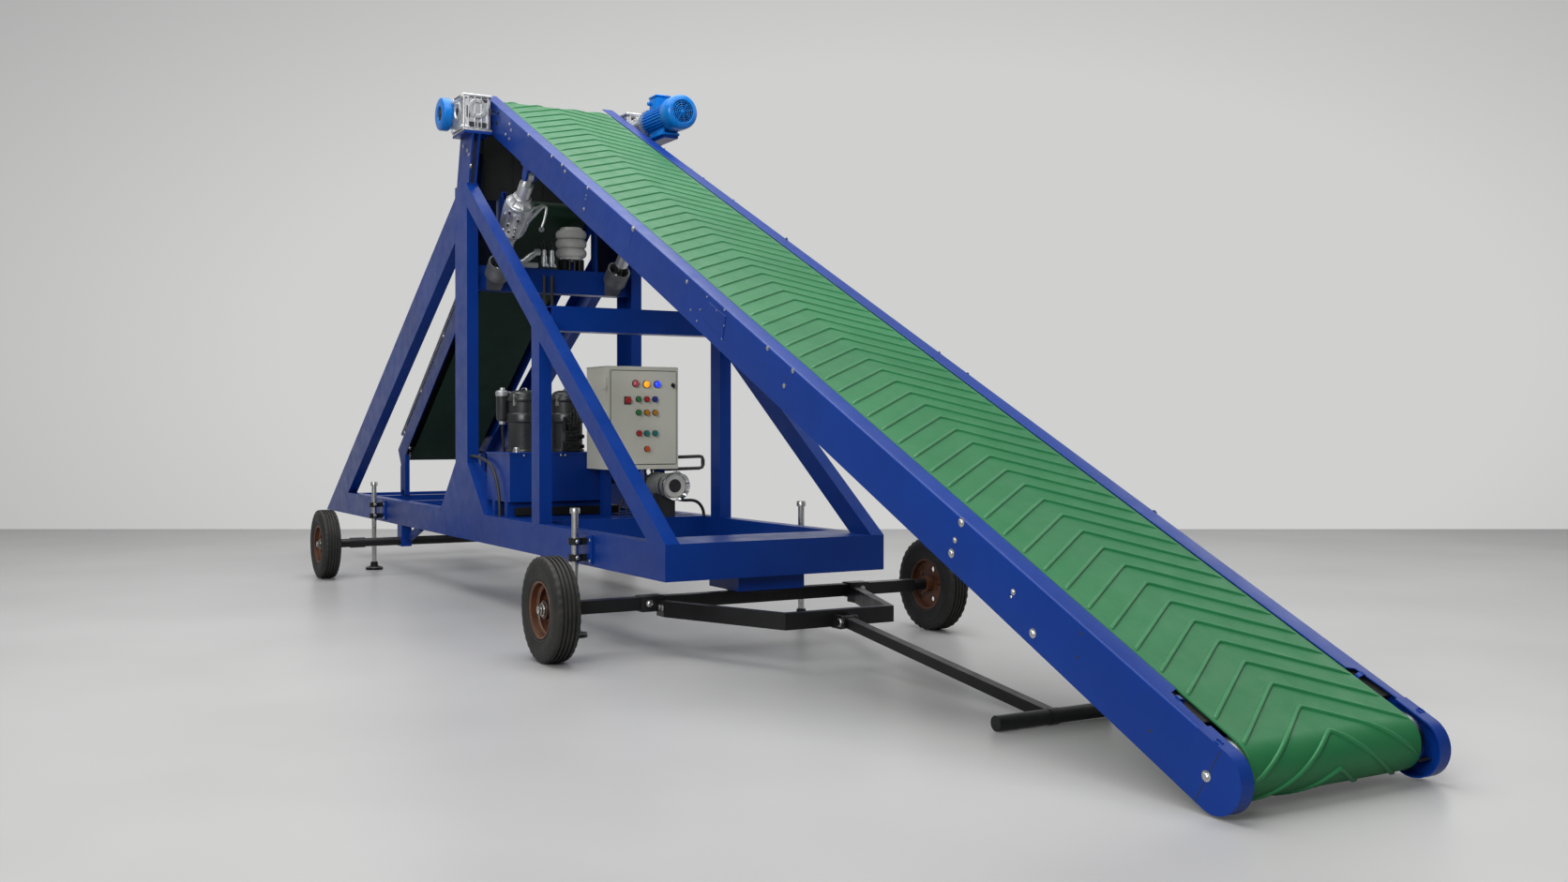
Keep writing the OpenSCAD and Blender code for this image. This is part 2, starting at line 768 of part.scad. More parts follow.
// One straight run of hose with a round start
module hose_run(a, b) {
  d = b - a;
  reach = norm(d);
  translate(a) rotate([0, acos(d[2] / reach), atan2(d[1], d[0])]) cylinder(r = hose_r, h = reach);
  translate(a) sphere(r = elbow_r);
}

module hydraulic_hoses() color(black) for (i = [0, 1]) {
  a = [upper_beam_front + 3 * hose_r, hose_ys[i], upper_beam_z + upper_beam_h / 2];
  b = [upper_beam_front + 3 * hose_r, hose_ys[i], upper_beam_z - 3 * upper_beam_h];
  c = [tank_x + tank_len - valve_len / 2, tank_y + tank_w + valve_w / 3 * (1 + i), tank_z + 2 * tank_h];
  e = [c[0], c[1], tank_z + tank_h];
  translate([upper_beam_front, hose_ys[i], a[2] - 2 * hose_r]) bar_x(hose_r, 0, 3 * hose_r);
  hose_run([a[0], a[1], a[2] - 2 * hose_r], b);
  hose_run(b, c);
  hose_run(c, e);
}

module cabinet_case() color(beige) {
  difference() {
    span(cab_rear, cab_front, cab_y0, cab_y0 + cabinet_w, cab_z0, cab_z0 + cabinet_h);
    span(cab_rear + sheet, cab_front + eps, cab_y0 + sheet, cab_y0 + cabinet_w - sheet,
        cab_z0 + sheet, cab_z0 + cabinet_h - sheet);
  }
  for (s = knuckle_shares) translate([0, 0, cab_z0 + cabinet_h * s]) {
    span(cab_front - 4 * knuckle_r, pivot_x + pivot_r, pivot_y - pivot_r, pivot_y + pivot_r,
        -knuckle_h / 2 - side_gap - knuckle_r, -knuckle_h / 2 - side_gap);
    span(cab_front - 4 * knuckle_r, cab_front - knuckle_r, pivot_y - pivot_r, cab_y0,
        -knuckle_h / 2 - side_gap - knuckle_r, -knuckle_h / 2 - side_gap);
    translate([pivot_x, pivot_y, -knuckle_h / 2 - side_gap - knuckle_r])
      cylinder(r = pivot_r, h = knuckle_h + 2 * knuckle_r);
  }
}

module cabinet_door() color(beige) {
  span(cab_face - door_t, cab_face, cab_y0, cab_y0 + cabinet_w, cab_z0, cab_z0 + cabinet_h);
  for (s = knuckle_shares) translate([pivot_x, pivot_y, cab_z0 + cabinet_h * s - knuckle_h / 2])
    difference() {
      union() {
        cylinder(r = knuckle_r, h = knuckle_h);
        span(-pivot_r, pivot_r, 0, cab_y0 - pivot_y + eps, 0, knuckle_h);
      }
      translate([0, 0, -eps]) cylinder(r = pivot_r + run_gap, h = knuckle_h + 2 * eps);
    }
}

module cabinet_stand() color(paint) for (y = stand_ys)
  span(stand_x - stand_s / 2, stand_x + stand_s / 2, y - stand_s / 2, y + stand_s / 2,
      base_top, cab_z0);

module oil_cooler() color(dark) {
  translate([0, cooler_y, cooler_z]) bar_x(cooler_r, cooler_x, cooler_x + cooler_len);
  span(cross_xs[0] - cross_w / 2, cross_xs[0] + cross_w / 2, cooler_y - saddle_w, cooler_y + saddle_w,
      base_top, cooler_z);
}

module rear_axle() color(black) {
  translate([rear_axle_x, 0, axle_z]) {
    bar_y(rear_tube_r, -rear_track / 2 + hub_in + side_gap, rear_track / 2 - hub_in - side_gap);
    both() {
      bar_y(sleeve_r, rear_track / 2 - hub_in - side_gap - 2 * sleeve_len,
          rear_track / 2 - hub_in - side_gap - sleeve_len);
      spindle(rear_track / 2);
    }
  }
}

// Hangers under the side beams, each with a slanted stay
module axle_hangers() color(paint) translate([rear_axle_x, 0, axle_z]) both() difference() {
  union() {
    span(-hanger_len / 2, hanger_len / 2, inner_y, base_y, -rear_tube_r - wall, base_clear - axle_z);
    slab([[0, -stay_h / 2], [stay_run, base_clear - axle_z - stay_h / 2],
        [stay_run, base_clear - axle_z], [stay_run - 2 * stay_h, base_clear - axle_z],
        [0, stay_h / 2]], inner_y, inner_y + stay_t);
  }
  bar_y(rear_tube_r + curve_gap, 0, base_w);
}

// Wheel spindle with its nut, in the axle's own frame
module spindle(y) {
  bar_y(spindle_r, y - hub_in - 2 * side_gap, y + hub_out + side_gap + nut_t);
  bar_y(nut_r, y + hub_out + side_gap, y + hub_out + side_gap + nut_t);
}

module jack_brackets() color(black) for (x = jack_xs) both() translate([x, 0, 0]) difference() {
  union() {
    span(-2 * jack_d, 2 * jack_d, base_y, base_y + 1.5 * wall, base_clear + 2 * wall, base_top - 2 * wall);
    for (z = [base_clear + 4 * wall, base_clear + 16 * wall]) {
      translate([0, jack_y, z]) cylinder(r = jack_d, h = 5 * wall);
      span(-jack_d / 2, jack_d / 2, base_y, jack_y, z, z + 5 * wall);
    }
  }
  translate([0, jack_y, 0]) cylinder(d = jack_d + 2 * run_gap, h = 2 * jack_top);
}

module jack(x, y) color(zinc) translate([x, y, 0]) {
  cylinder(d = foot_d, h = 3 * wall);
  cylinder(d = jack_d, h = jack_top);
  translate([0, 0, jack_top - 4 * wall]) cylinder(d = 1.4 * jack_d, h = 4 * wall);
}

module turntable() color(paint) difference() {
  span(front_axle_x - turn_len / 2, front_axle_x + turn_len / 2, -turn_w / 2, turn_w / 2,
      turn_bottom, base_clear);
  translate([front_axle_x, 0, turn_bottom - eps])
    cylinder(r = king_r + run_gap, h = base_clear - turn_bottom + 2 * eps);
}

module boom_plates() color(paint) in_boom() both() difference() {
  union() {
    span(-boom_head, boom_run - cap_len, boom_w / 2 - plate_t, boom_w / 2, -nose_r, nose_r);
    span(-boom_head, boom_run - cap_len - plate_t, boom_w / 2 - flange_w, boom_w / 2 - plate_t,
        nose_r - plate_t, nose_r);
  }
  bar_y(shaft_r + 2 * eps, 0, boom_w);
}

// Shallow dished cap round each side of the nose
module boom_end_caps() color(paint) in_boom() both() difference() {
  cap_shape(nose_r, boom_run - cap_len, boom_w / 2 - cap_rim, boom_w / 2);
  cap_shape(nose_r - plate_t, boom_run - cap_len - eps, boom_w / 2 - cap_rim - eps, boom_w / 2 - plate_t);
}

module cap_shape(r, x0, y0, y1) {
  span(x0, boom_run, y0, y1, -r, r);
  translate([boom_run, 0, 0]) bar_y(r, y0, y1);
}

module boom_bed() color(dark) in_boom()
  span(2 * pulley_r, boom_run - 2 * pulley_r, -boom_w / 2 + plate_t, boom_w / 2 - plate_t,
      pulley_r - bed_t - eps, pulley_r - eps);

module boom_belt() color(green) in_boom() {
  difference() {
    stadium(0, boom_run, pulley_r + belt_t, belt_w / 2);
    stadium(0, boom_run, pulley_r, belt_w / 2 + eps);
  }
  chevrons();
  translate([boom_run, 0, 0]) rotate([0, 180, 0]) chevrons();
}

// Row of raised chevrons on one straight run, with their points toward the head
module chevrons() for (i = [0:chevron_n - 1])
  translate([i * chevron_step, 0, pulley_r + belt_t - eps]) linear_extrude(chevron_h + eps)
    polygon([[0, 0], [chevron_lead, -chevron_half], [chevron_lead + chevron_w, -chevron_half],
      [chevron_w, 0], [chevron_lead + chevron_w, chevron_half], [chevron_lead, chevron_half]]);

module boom_pulleys() color(zinc) in_boom() {
  drum(pulley_r - curve_gap, pulley_half, shaft_r, shaft_out);
  translate([boom_run, 0, 0]) drum(pulley_r - curve_gap, pulley_half, shaft_r, boom_w / 2 - plate_t);
}

module boom_ties() color(paint) in_boom() for (i = [0:tie_n - 1])
  span(lug_x - tie_w / 2 + (i - 1) * tie_step + (i == 0 ? tie_step / 2 : 0),
      lug_x + tie_w / 2 + (i - 1) * tie_step + (i == 0 ? tie_step / 2 : 0),
      -boom_w / 2 + plate_t, boom_w / 2 - plate_t, -nose_r, -nose_r + plate_t);

module cylinder_lugs() color(paint) in_boom() both() {
  span(lug_x - 2 * lug_r, lug_x + 2 * lug_r, lug_y - lug_eye_w, boom_w / 2, -nose_r - lug_base_t, -nose_r);
  for (y = [lug_y - lug_eye_w / 2 - side_gap - lug_t, lug_y + lug_eye_w / 2 + side_gap]) {
    span(lug_x - lug_r, lug_x + lug_r, y, y + lug_t, lug_z, -nose_r - eps);
    translate([lug_x, 0, lug_z]) bar_y(lug_r, y, y + lug_t);
  }
  translate([lug_x, 0, lug_z])
    bar_y(lug_pin_r, lug_y - lug_eye_w / 2 - side_gap - lug_t, lug_y + lug_eye_w / 2 + side_gap + lug_t);
}

module lift_barrels() color(silver) both() in_cylinder() difference() {
  union() {
    bar_y(lug_r, -lug_eye_w / 2, lug_eye_w / 2);
    span(0, 2 * lug_r, -lug_eye_w / 2, lug_eye_w / 2, -lug_eye_w / 2, lug_eye_w / 2);
    rotate([0, 90, 0]) rotate_extrude() polygon([[0, lug_r + 4 * wall], [barrel_d / 2, lug_r + 4 * wall],
        [barrel_d / 2, bell_at], [bell_r, bell_at + bell_taper], [bell_r, bell_at + bell_taper + bell_len],
        [barrel_d / 2, bell_at + bell_taper + bell_len + bell_end], [barrel_d / 2, barrel_len],
        [0, barrel_len]]);
  }
  bar_y(lug_pin_r + run_gap, -lug_eye_w, lug_eye_w);
  bar_x(rod_d / 2 + run_gap, lug_r + 4 * wall + barrel_wall_end, barrel_len + eps);
}

module lift_rods() color(zinc) both() in_cylinder() {
  bar_x(rod_d / 2, rod_start, cyl_len);
  translate([cyl_len, 0, 0]) sphere(r = ball_r);
}

module front_axle() color(black) translate([front_axle_x, 0, axle_z]) {
  span(-axle_s / 2, axle_s / 2, -axle_end, axle_end, -axle_s / 2, axle_s / 2);
  translate([0, 0, axle_s / 2]) {
    cylinder(r = ring_r, h = ring_t);
    cylinder(r = king_r, h = ring_t + king_h);
  }
  both() {
    bar_y(shoulder_r, axle_end, front_track / 2 - hub_in - side_gap);
    spindle(front_track / 2);
  }
}

module drawbar() color(black) {
  rear = front_axle_x + axle_s / 2;
  translate([0, 0, bar_z - bar_h / 2]) linear_extrude(bar_h) difference() {
    polygon([[rear, -bar_rear_y], [rear, bar_rear_y], [rear + bracket_len, bar_rear_y],
        [bar_front_x, bar_front_y], [bar_front_x, -bar_front_y], [rear + bracket_len, -bar_rear_y]]);
    polygon([[rear - eps, -bar_rear_y + bar_t], [rear - eps, bar_rear_y - bar_t],
        [rear + bracket_len - bar_t / 4, bar_rear_y - bar_t],
        [bar_front_x - bar_t, bar_front_y - bar_t / 2],
        [bar_front_x - bar_t, -bar_front_y + bar_t / 2],
        [rear + bracket_len - bar_t / 4, -bar_rear_y + bar_t]]);
  }
  both() {
    span(bar_front_x - clevis_t, tow_pin_x, tow_eye_w / 2 + side_gap, tow_eye_w / 2 + side_gap + clevis_t,
        tow_pin_z - clevis_h / 2, tow_pin_z + clevis_h / 2);
    translate([tow_pin_x, 0, tow_pin_z])
      bar_y(clevis_h / 2, tow_eye_w / 2 + side_gap, tow_eye_w / 2 + side_gap + clevis_t);
  }
  translate([tow_pin_x, 0, tow_pin_z])
    bar_y(tow_pin_r, -tow_eye_w / 2 - 2 * clevis_t - side_gap, tow_eye_w / 2 + 2 * clevis_t + side_gap);
}

module tow_bar() color(black) translate([tow_pin_x, 0, tow_pin_z]) rotate([0, tow_ang, 0]) {
  difference() {
    union() {
      bar_y(tow_eye_r, -tow_eye_w / 2, tow_eye_w / 2);
      span(0, tow_len, -tow_s / 2, tow_s / 2, -tow_s / 2, tow_s / 2);
    }
    bar_y(tow_pin_r + run_gap, -tow_eye_w, tow_eye_w);
  }
  translate([tow_len, 0, 0]) {
    bar_y(handle_d / 2, -handle_len / 2, handle_len / 2);
    bar_y(handle_d / 2 + collar_up, -tow_s / 2, tow_s / 2);
  }
}

module wheel_place(x, y) {
  translate([x, y, axle_z]) rotate([-90, 0, 0]) mirror([0, 0, y < 0 ? 1 : 0]) children();
}

// Ribbed tyre around the local z axis
module tyre(x, y) color(black) wheel_place(x, y) difference() {
  rotate_extrude($fn = round_fn) polygon([[bead_r + curve_gap, -bead_half],
      [rim_d / 2 + bead_step, -bead_half], [rim_d / 2 + bead_rise, -bead_half - bead_lean],
      [rim_d / 2 + bulge_at, -tyre_w / 2], [tyre_d / 2 - shoulder_at, -tyre_w / 2 + shoulder_in],
      [tyre_d / 2 - edge_at, -tyre_w / 2 + edge_in], [tyre_d / 2, -tyre_w / 2 + tread_in],
      [tyre_d / 2, tyre_w / 2 - tread_in], [tyre_d / 2 - edge_at, tyre_w / 2 - edge_in],
      [tyre_d / 2 - shoulder_at, tyre_w / 2 - shoulder_in], [rim_d / 2 + bulge_at, tyre_w / 2],
      [rim_d / 2 + bead_rise, bead_half + bead_lean], [rim_d / 2 + bead_step, bead_half],
      [bead_r + curve_gap, bead_half]]);
  for (i = [-1.5, -0.5, 0.5, 1.5]) rotate_extrude($fn = round_fn)
    translate([tyre_d / 2 - groove_d, i * (rib_w + groove_w) - groove_w / 2])
      square([2 * groove_d, groove_w]);
}

// Dished rim with five holes and a bored hub, outside toward +z
module rim(x, y) color(rust) wheel_place(x, y) difference() {
  rotate_extrude($fn = round_fn) polygon([[spindle_r + run_gap, -hub_in], [hub_r, -hub_in],
      [hub_r, disc_at], [bead_r - rim_wall, disc_at], [bead_r - rim_wall, -bead_half - rim_flange],
      [rim_d / 2, -bead_half - rim_flange], [rim_d / 2, -bead_half - curve_gap],
      [bead_r, -bead_half - curve_gap], [bead_r, bead_half + curve_gap], [rim_d / 2, bead_half + curve_gap],
      [rim_d / 2, bead_half + rim_flange], [bead_r - rim_wall, bead_half + rim_flange],
      [bead_r - rim_wall, disc_at + disc_t], [hub_r, disc_at + disc_t], [hub_r, hub_out],
      [spindle_r + run_gap, hub_out]]);
  for (i = [0:hole_n - 1]) rotate([0, 0, i * 360 / hole_n]) translate([hole_at, 0, disc_at - disc_t])
    cylinder(r = hole_r, h = 3 * disc_t);
}

side_beams();
front_beam();
cross_members();
post_shoes();
main_posts();
rear_legs();
front_braces();
short_posts();
cross_beams();
head_brackets();
gearboxes();
drive_motors();
cylinder_cups();
rear_plates();
rear_bed();
rear_belt();
rear_pulleys();
guard_rails();
rear_supports();
oil_tank();
pump_motors();
valve_block();
accumulator();
hydraulic_hoses();
cabinet_case();
cabinet_stand();
oil_cooler();
rear_axle();
axle_hangers();
jack_brackets();
turntable();
boom_plates();
boom_end_caps();
boom_bed();
boom_belt();
boom_pulleys();
boom_ties();
cylinder_lugs();
lift_barrels();
lift_rods();
front_axle();
drawbar();
tow_bar();
tyre(front_axle_x, front_track / 2);  // tyre_front_left
rim(front_axle_x, front_track / 2);  // rim_front_left
tyre(front_axle_x, -front_track / 2);  // tyre_front_right
rim(front_axle_x, -front_track / 2);  // rim_front_right
tyre(rear_axle_x, rear_track / 2);  // tyre_rear_left
rim(rear_axle_x, rear_track / 2);  // rim_rear_left
tyre(rear_axle_x, -rear_track / 2);  // tyre_rear_right
rim(rear_axle_x, -rear_track / 2);  // rim_rear_right
jack(jack_xs[0], jack_y);  // jack_front_left
jack(jack_xs[0], -jack_y);  // jack_front_right
jack(jack_xs[1], jack_y);  // jack_rear_left
jack(jack_xs[1], -jack_y);  // jack_rear_right
cabinet_door();
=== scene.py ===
"""Looks for the mobile bag stacker: finishes, belt ribs, castings, bolts, controls, hoses, light and camera."""
import json
import math

import bpy
import numpy as np
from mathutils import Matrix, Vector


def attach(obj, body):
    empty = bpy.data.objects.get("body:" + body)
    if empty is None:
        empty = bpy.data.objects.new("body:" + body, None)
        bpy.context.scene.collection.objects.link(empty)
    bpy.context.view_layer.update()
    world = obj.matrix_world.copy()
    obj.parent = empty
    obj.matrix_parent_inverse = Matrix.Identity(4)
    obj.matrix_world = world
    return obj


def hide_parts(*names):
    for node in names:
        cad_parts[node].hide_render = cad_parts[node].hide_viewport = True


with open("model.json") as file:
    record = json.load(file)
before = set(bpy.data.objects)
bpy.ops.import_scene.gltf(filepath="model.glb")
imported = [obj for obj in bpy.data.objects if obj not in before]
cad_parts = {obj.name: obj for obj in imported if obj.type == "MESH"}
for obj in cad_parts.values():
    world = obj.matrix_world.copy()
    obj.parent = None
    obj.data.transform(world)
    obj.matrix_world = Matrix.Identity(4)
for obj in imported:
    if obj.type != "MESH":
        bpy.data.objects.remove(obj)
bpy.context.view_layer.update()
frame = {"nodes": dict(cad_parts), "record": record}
nodes = frame["nodes"]

# Places of the CAD model, in metres
SLOPE = math.radians(26)
HINGE = np.array([-1.317109, 0.0, 3.532719])
POST_X = -1.420109
BOOM_HALF, BOOM_NOSE, BOOM_HEAD, CAP_START = 0.515, 0.11, -0.155, 7.655
BELT_R, BELT_RUN = 0.106, 7.74
PLATE_T = 0.006
GEAR_IN, GEAR_OUT, GEAR_HALF_X, GEAR_HALF_H = 0.53, 0.75, 0.13, 0.155
LUG_Y = 0.47
PIN = np.array([-0.588946, LUG_Y, 2.981751])
CUP = np.array([-1.236112, LUG_Y, 2.399719])
BEAM_FRONT, BEAM_TOP = -1.350109, 2.429719
TANK_TOP, TANK_FRONT = 1.06, -0.5135
FRONT_AXLE_X, REAR_AXLE_X, AXLE_Z = 1.799891, -3.110109, 0.28
FRONT_HALF_TRACK, REAR_HALF_TRACK = 1.235, 1.3
JACK_X, JACK_Y = {"front": 0.999891, "rear": -3.620109}, 0.776
TOW_PIN = np.array([2.759891, -0.0425, 0.242])
SIDES = {"left": 1, "right": -1}
X, Y, Z = np.eye(3)

SLOT_OF, MATERIAL_FOR = {}, {}


# Mesh tools: a surface is (points, quads, caps)

def new_piece(name, surfaces, material, smooth=35, body="chassis", replaces=None):
    """One mesh object at the origin from a list of surfaces, riding one body, in the given material. Edges
    sharper than smooth degrees stay sharp."""
    points, faces, count = [], [], 0
    for verts, quads, caps in surfaces:
        faces += (quads + count).tolist() + [(cap + count).tolist() for cap in caps]
        points.append(verts)
        count += len(verts)
    mesh = bpy.data.meshes.new(name)
    mesh.from_pydata(np.concatenate(points).tolist(), [], faces)
    mesh.update()
    mesh.polygons.foreach_set("use_smooth", [True] * len(mesh.polygons))
    mesh.set_sharp_from_angle(angle=math.radians(smooth))
    mesh.materials.append(material)
    piece = bpy.data.objects.new(name, mesh)
    bpy.context.scene.collection.objects.link(piece)
    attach(piece, body)
    if replaces:
        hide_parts(replaces)
    return piece


def mm(*values):
    """Rows of two numbers, such as (height, radius), given in millimetres."""
    return np.reshape(values, (-1, 2)) / 1000


def grid_quads(rows, cols, loop_rows):
    """Quads of a rows by cols grid of points, closed across the columns, and round the rows when asked."""
    r = np.arange(rows if loop_rows else rows - 1)[:, None]
    c = np.arange(cols)[None, :]
    r2, c2 = (r + 1) % rows, (c + 1) % cols
    return np.stack([r * cols + c, r2 * cols + c, r2 * cols + c2, r * cols + c2], -1).reshape(-1, 4)


def unit(v):
    """Vector, or each row of vectors, divided by its length."""
    v = np.asarray(v, float)
    return v / np.linalg.norm(v, axis=-1, keepdims=True)


def axis_frame(axis):
    """Two unit vectors square to an axis, so that side, up and axis are right-handed."""
    ref = Z if abs(unit(axis)[2]) < 0.9 else X
    side = unit(np.cross(axis, ref))
    return side, np.cross(unit(axis), side)


def round_angles(count, start=0.0):
    """Equal steps of a full turn."""
    return np.arange(count) * 2 * math.pi / count + start


def circle(centre, radius, count, u, v, start=0.0):
    """Points spaced round a circle: centre + radius (cos a u + sin a v)."""
    a = round_angles(count, start)[:, None]
    return np.asarray(centre, float) + radius * (np.cos(a) * u + np.sin(a) * v)


def carried(rows, loop=False):
    """Surface through a stack of equal closed outlines, given as (rows, points, 3); its ends are closed unless
    it is looped."""
    rows = np.asarray(rows, float)
    count, n = rows.shape[:2]
    ends = [] if loop else [np.arange(n), (np.arange(n) + (count - 1) * n)[::-1]]
    return rows.reshape(-1, 3), grid_quads(count, n, loop), ends


def flipped(surface):
    """The same surface with each face turned round."""
    pts, quads, caps = surface
    return pts, quads[:, ::-1], [cap[::-1] for cap in caps]


def turned(profile, at, axis, sides, swell=0.0, loop=False):
    """Surface of revolution: each (height, radius) of the profile is a ring round the axis through at, and
    swell adds to the radius by row and angle. point = at + height axis + radius (cos a side + sin a up)."""
    profile = np.asarray(profile, float)
    ring = circle(np.zeros(3), 1.0, sides, *axis_frame(axis))
    radius = profile[:, 1, None] + np.broadcast_to(swell, (len(profile), sides))
    pts = np.asarray(at, float) + profile[:, 0, None, None] * unit(axis) + radius[..., None] * ring
    return flipped(carried(pts, loop))


def swept(path, radius, sides, ref=Z):
    """Round tube carried along a path, with flat ends: point = path + radius (cos a side + sin a up)."""
    path = np.asarray(path, float)
    along = unit(np.gradient(path, axis=0))
    side = np.cross(along, ref)
    side = unit(np.where(np.linalg.norm(side, axis=1, keepdims=True) < 0.05, np.cross(along, X), side))
    up = np.cross(side, along)
    a = round_angles(sides)[None, :, None]
    radius = np.broadcast_to(radius, len(path))[:, None, None]
    return carried(path[:, None] + radius * (np.cos(a) * side[:, None] + np.sin(a) * up[:, None]))


def tapered(path, stops, radii, sides, ref=Z):
    """Tube whose radius runs through the given radii at the stops, from 0 at its start to 1 at its end."""
    return swept(path, np.interp(np.linspace(0, 1, len(path)), stops, radii), sides, ref)


def smooth_path(points, count):
    """Smooth curve through a few points: cubic Hermite pieces with central-difference slopes."""
    p = np.asarray(points, float)
    m = np.gradient(p, axis=0)
    t = np.linspace(0, len(p) - 1 - 1e-9, count)
    i = t.astype(int)
    f = (t - i)[:, None]
    return ((2 * f**3 - 3 * f**2 + 1) * p[i] + (f**3 - 2 * f**2 + f) * m[i]
            + (3 * f**2 - 2 * f**3) * p[i + 1] + (f**3 - f**2) * m[i + 1])


def plate(outline, at, u, v, depth, bevel):
    """Flat plate: an outline, counterclockwise in u and v, raised along u x v, with its edges bevelled by
    pulling each corner in along its bisector."""
    o = np.asarray(outline, float)
    before, after = unit(o - np.roll(o, 1, 0)), unit(np.roll(o, -1, 0) - o)
    inward = np.stack([-before[:, 1] - after[:, 1], before[:, 0] + after[:, 0]], -1)
    inward /= np.maximum(1 + (before * after).sum(1, keepdims=True), 0.3)
    small = o + bevel * inward
    rows = [(small, 0.0), (o, bevel), (o, depth - bevel), (small, depth)]
    rings = np.stack([np.column_stack([ring, np.full(len(o), h)]) for ring, h in rows])
    return flipped(carried(np.asarray(at, float) + rings @ np.stack([u, v, np.cross(u, v)])))


def rounded(width, height, radius, steps, centre=(0.0, 0.0)):
    """Outline of a rectangle with round corners: four quarter circles joined."""
    a = np.linspace(0, math.pi / 2, steps + 1)
    reach = np.array([width / 2 - radius, height / 2 - radius])
    signs = [(1, 1), (-1, 1), (-1, -1), (1, -1)]
    turns = [a + k * math.pi / 2 for k in range(4)]
    corners = [radius * np.stack([np.cos(b), np.sin(b)], -1) + reach * sign for b, sign in zip(turns, signs)]
    return np.concatenate(corners) + centre


def block(low, high, bevel=0.004):
    """Box with bevelled edges, between two opposite corners."""
    low, high = np.sort([low, high], 0).astype(float)
    size, middle = high - low, (low + high) / 2
    bevel = min(bevel, 0.4 * size.min())
    return plate(rounded(size[0], size[1], bevel, 2), [*middle[:2], low[2]], X, Y, size[2], bevel)


def bolt(at, axis, size, washer=True):
    """Bolt head: six flats with a chamfered top, on a round washer."""
    head = [(0.0, size), (0.55 * size, size), (0.68 * size, 0.82 * size)]
    parts = [turned(head, at, axis, 6)]
    if washer:
        rows = [(0.0, 1.5 * size), (0.14 * size, 1.5 * size), (0.2 * size, 1.38 * size)]
        parts.append(turned(rows, at, axis, 16))
    return parts


def bolts(places, axis, size, washer=True):
    return [part for at in places for part in bolt(at, axis, size, washer)]


def mirrored(surfaces):
    """The same surfaces on the other side: y changes sign and each face is turned round."""
    return [flipped((pts * (1, -1, 1), quads, caps)) for pts, quads, caps in surfaces]


def both_sides(surfaces):
    """Surfaces and their mirror images."""
    return surfaces + mirrored(surfaces)


def in_boom(points):
    """Boom coordinates (down the slope from the hinge, across, square to the belt) to the model's frame."""
    p = np.asarray(points, float)
    along = np.array([math.cos(SLOPE), 0, -math.sin(SLOPE)])
    rise = np.array([math.sin(SLOPE), 0, math.cos(SLOPE)])
    return HINGE + p[..., 0:1] * along + p[..., 1:2] * Y + p[..., 2:3] * rise


BOOM_X, BOOM_Z = in_boom([1.0, 0, 0]) - HINGE, in_boom([0, 0, 1.0]) - HINGE


# Finishes

def feed(tree, socket, value):
    """Set a colour or a number on a socket, or link another socket to it."""
    if isinstance(value, tuple):
        socket.default_value = (*value, 1.0)
    elif isinstance(value, (int, float)):
        socket.default_value = value
    else:
        tree.links.new(value, socket)


def fed_node(tree, kind, **values):
    """New node with its named sockets fed; an underscore stands for a space in a name."""
    node = tree.nodes.new(f"ShaderNode{kind}")
    for label, value in values.items():
        feed(tree, node.inputs[label.replace("_", " ")], value)
    return node


def noise(tree, scale, detail, rough=0.6):
    """Noise on Object coordinates."""
    coords = tree.nodes.new("ShaderNodeTexCoord").outputs["Object"]
    node = fed_node(tree, "TexNoise", Vector=coords, Scale=scale, Detail=detail, Roughness=rough)
    return node.outputs["Fac"]


def spread(tree, value, low, high, to_low=0.0, to_high=1.0):
    """Value spread from low..high to to_low..to_high, held at the ends."""
    node = fed_node(tree, "MapRange", Value=value, From_Min=low, From_Max=high, To_Min=to_low, To_Max=to_high)
    return node.outputs["Result"]


def math_node(tree, operation, *values):
    """One operation on numbers or sockets."""
    node = tree.nodes.new("ShaderNodeMath")
    node.operation = operation
    for socket, value in zip(node.inputs, values):
        feed(tree, socket, value)
    return node.outputs[0]


def blended(tree, factor, a, b):
    """Colour a turning to colour b by the factor."""
    node = tree.nodes.new("ShaderNodeMix")
    node.data_type = "RGBA"
    for key, value in (("Factor", factor), (6, a), (7, b)):
        feed(tree, node.inputs[key], value)
    return node.outputs[2]


def mixing_group(name, second, amount, mask_of):
    """Shader group that mixes Base to a second colour by a mask and puts out the colour and the mask;
    mask_of makes the mask from the socket of the named amount."""
    group = bpy.data.node_groups.new(name, "ShaderNodeTree")
    for label, way, kind in (("Base", "INPUT", "Color"), (second, "INPUT", "Color"), (amount, "INPUT", "Float"),
                             ("Color", "OUTPUT", "Color"), ("Mask", "OUTPUT", "Float")):
        group.interface.new_socket(label, in_out=way, socket_type=f"NodeSocket{kind}")
    given, out = group.nodes.new("NodeGroupInput").outputs, group.nodes.new("NodeGroupOutput")
    mask = mask_of(group, given[amount])
    group.links.new(mask, out.inputs["Mask"])
    group.links.new(blended(group, mask, given["Base"], given[second]), out.inputs["Color"])
    return group


def drift_mask(group, scale):
    """Slow drift: a wide noise."""
    return spread(group, noise(group, scale, 6, 0.62), 0.35, 0.68)


def dust_and_top_light_mask(group, amount):
    """Dust and painted top light on faces that look up, in soft patches: patches times upward tilt times
    amount. A grey second colour is dust; a lighter tint of the paint is painted top light.
    """
    normal = group.nodes.new("ShaderNodeNewGeometry").outputs["Normal"]
    tilt = spread(group, fed_node(group, "SeparateXYZ", Vector=normal).outputs["Z"], 0.15, 0.95, 0.04, 1.0)
    patches = spread(group, noise(group, 5.5, 8, 0.7), 0.35, 0.75)
    return math_node(group, "MULTIPLY", math_node(group, "MULTIPLY", patches, tilt), amount)


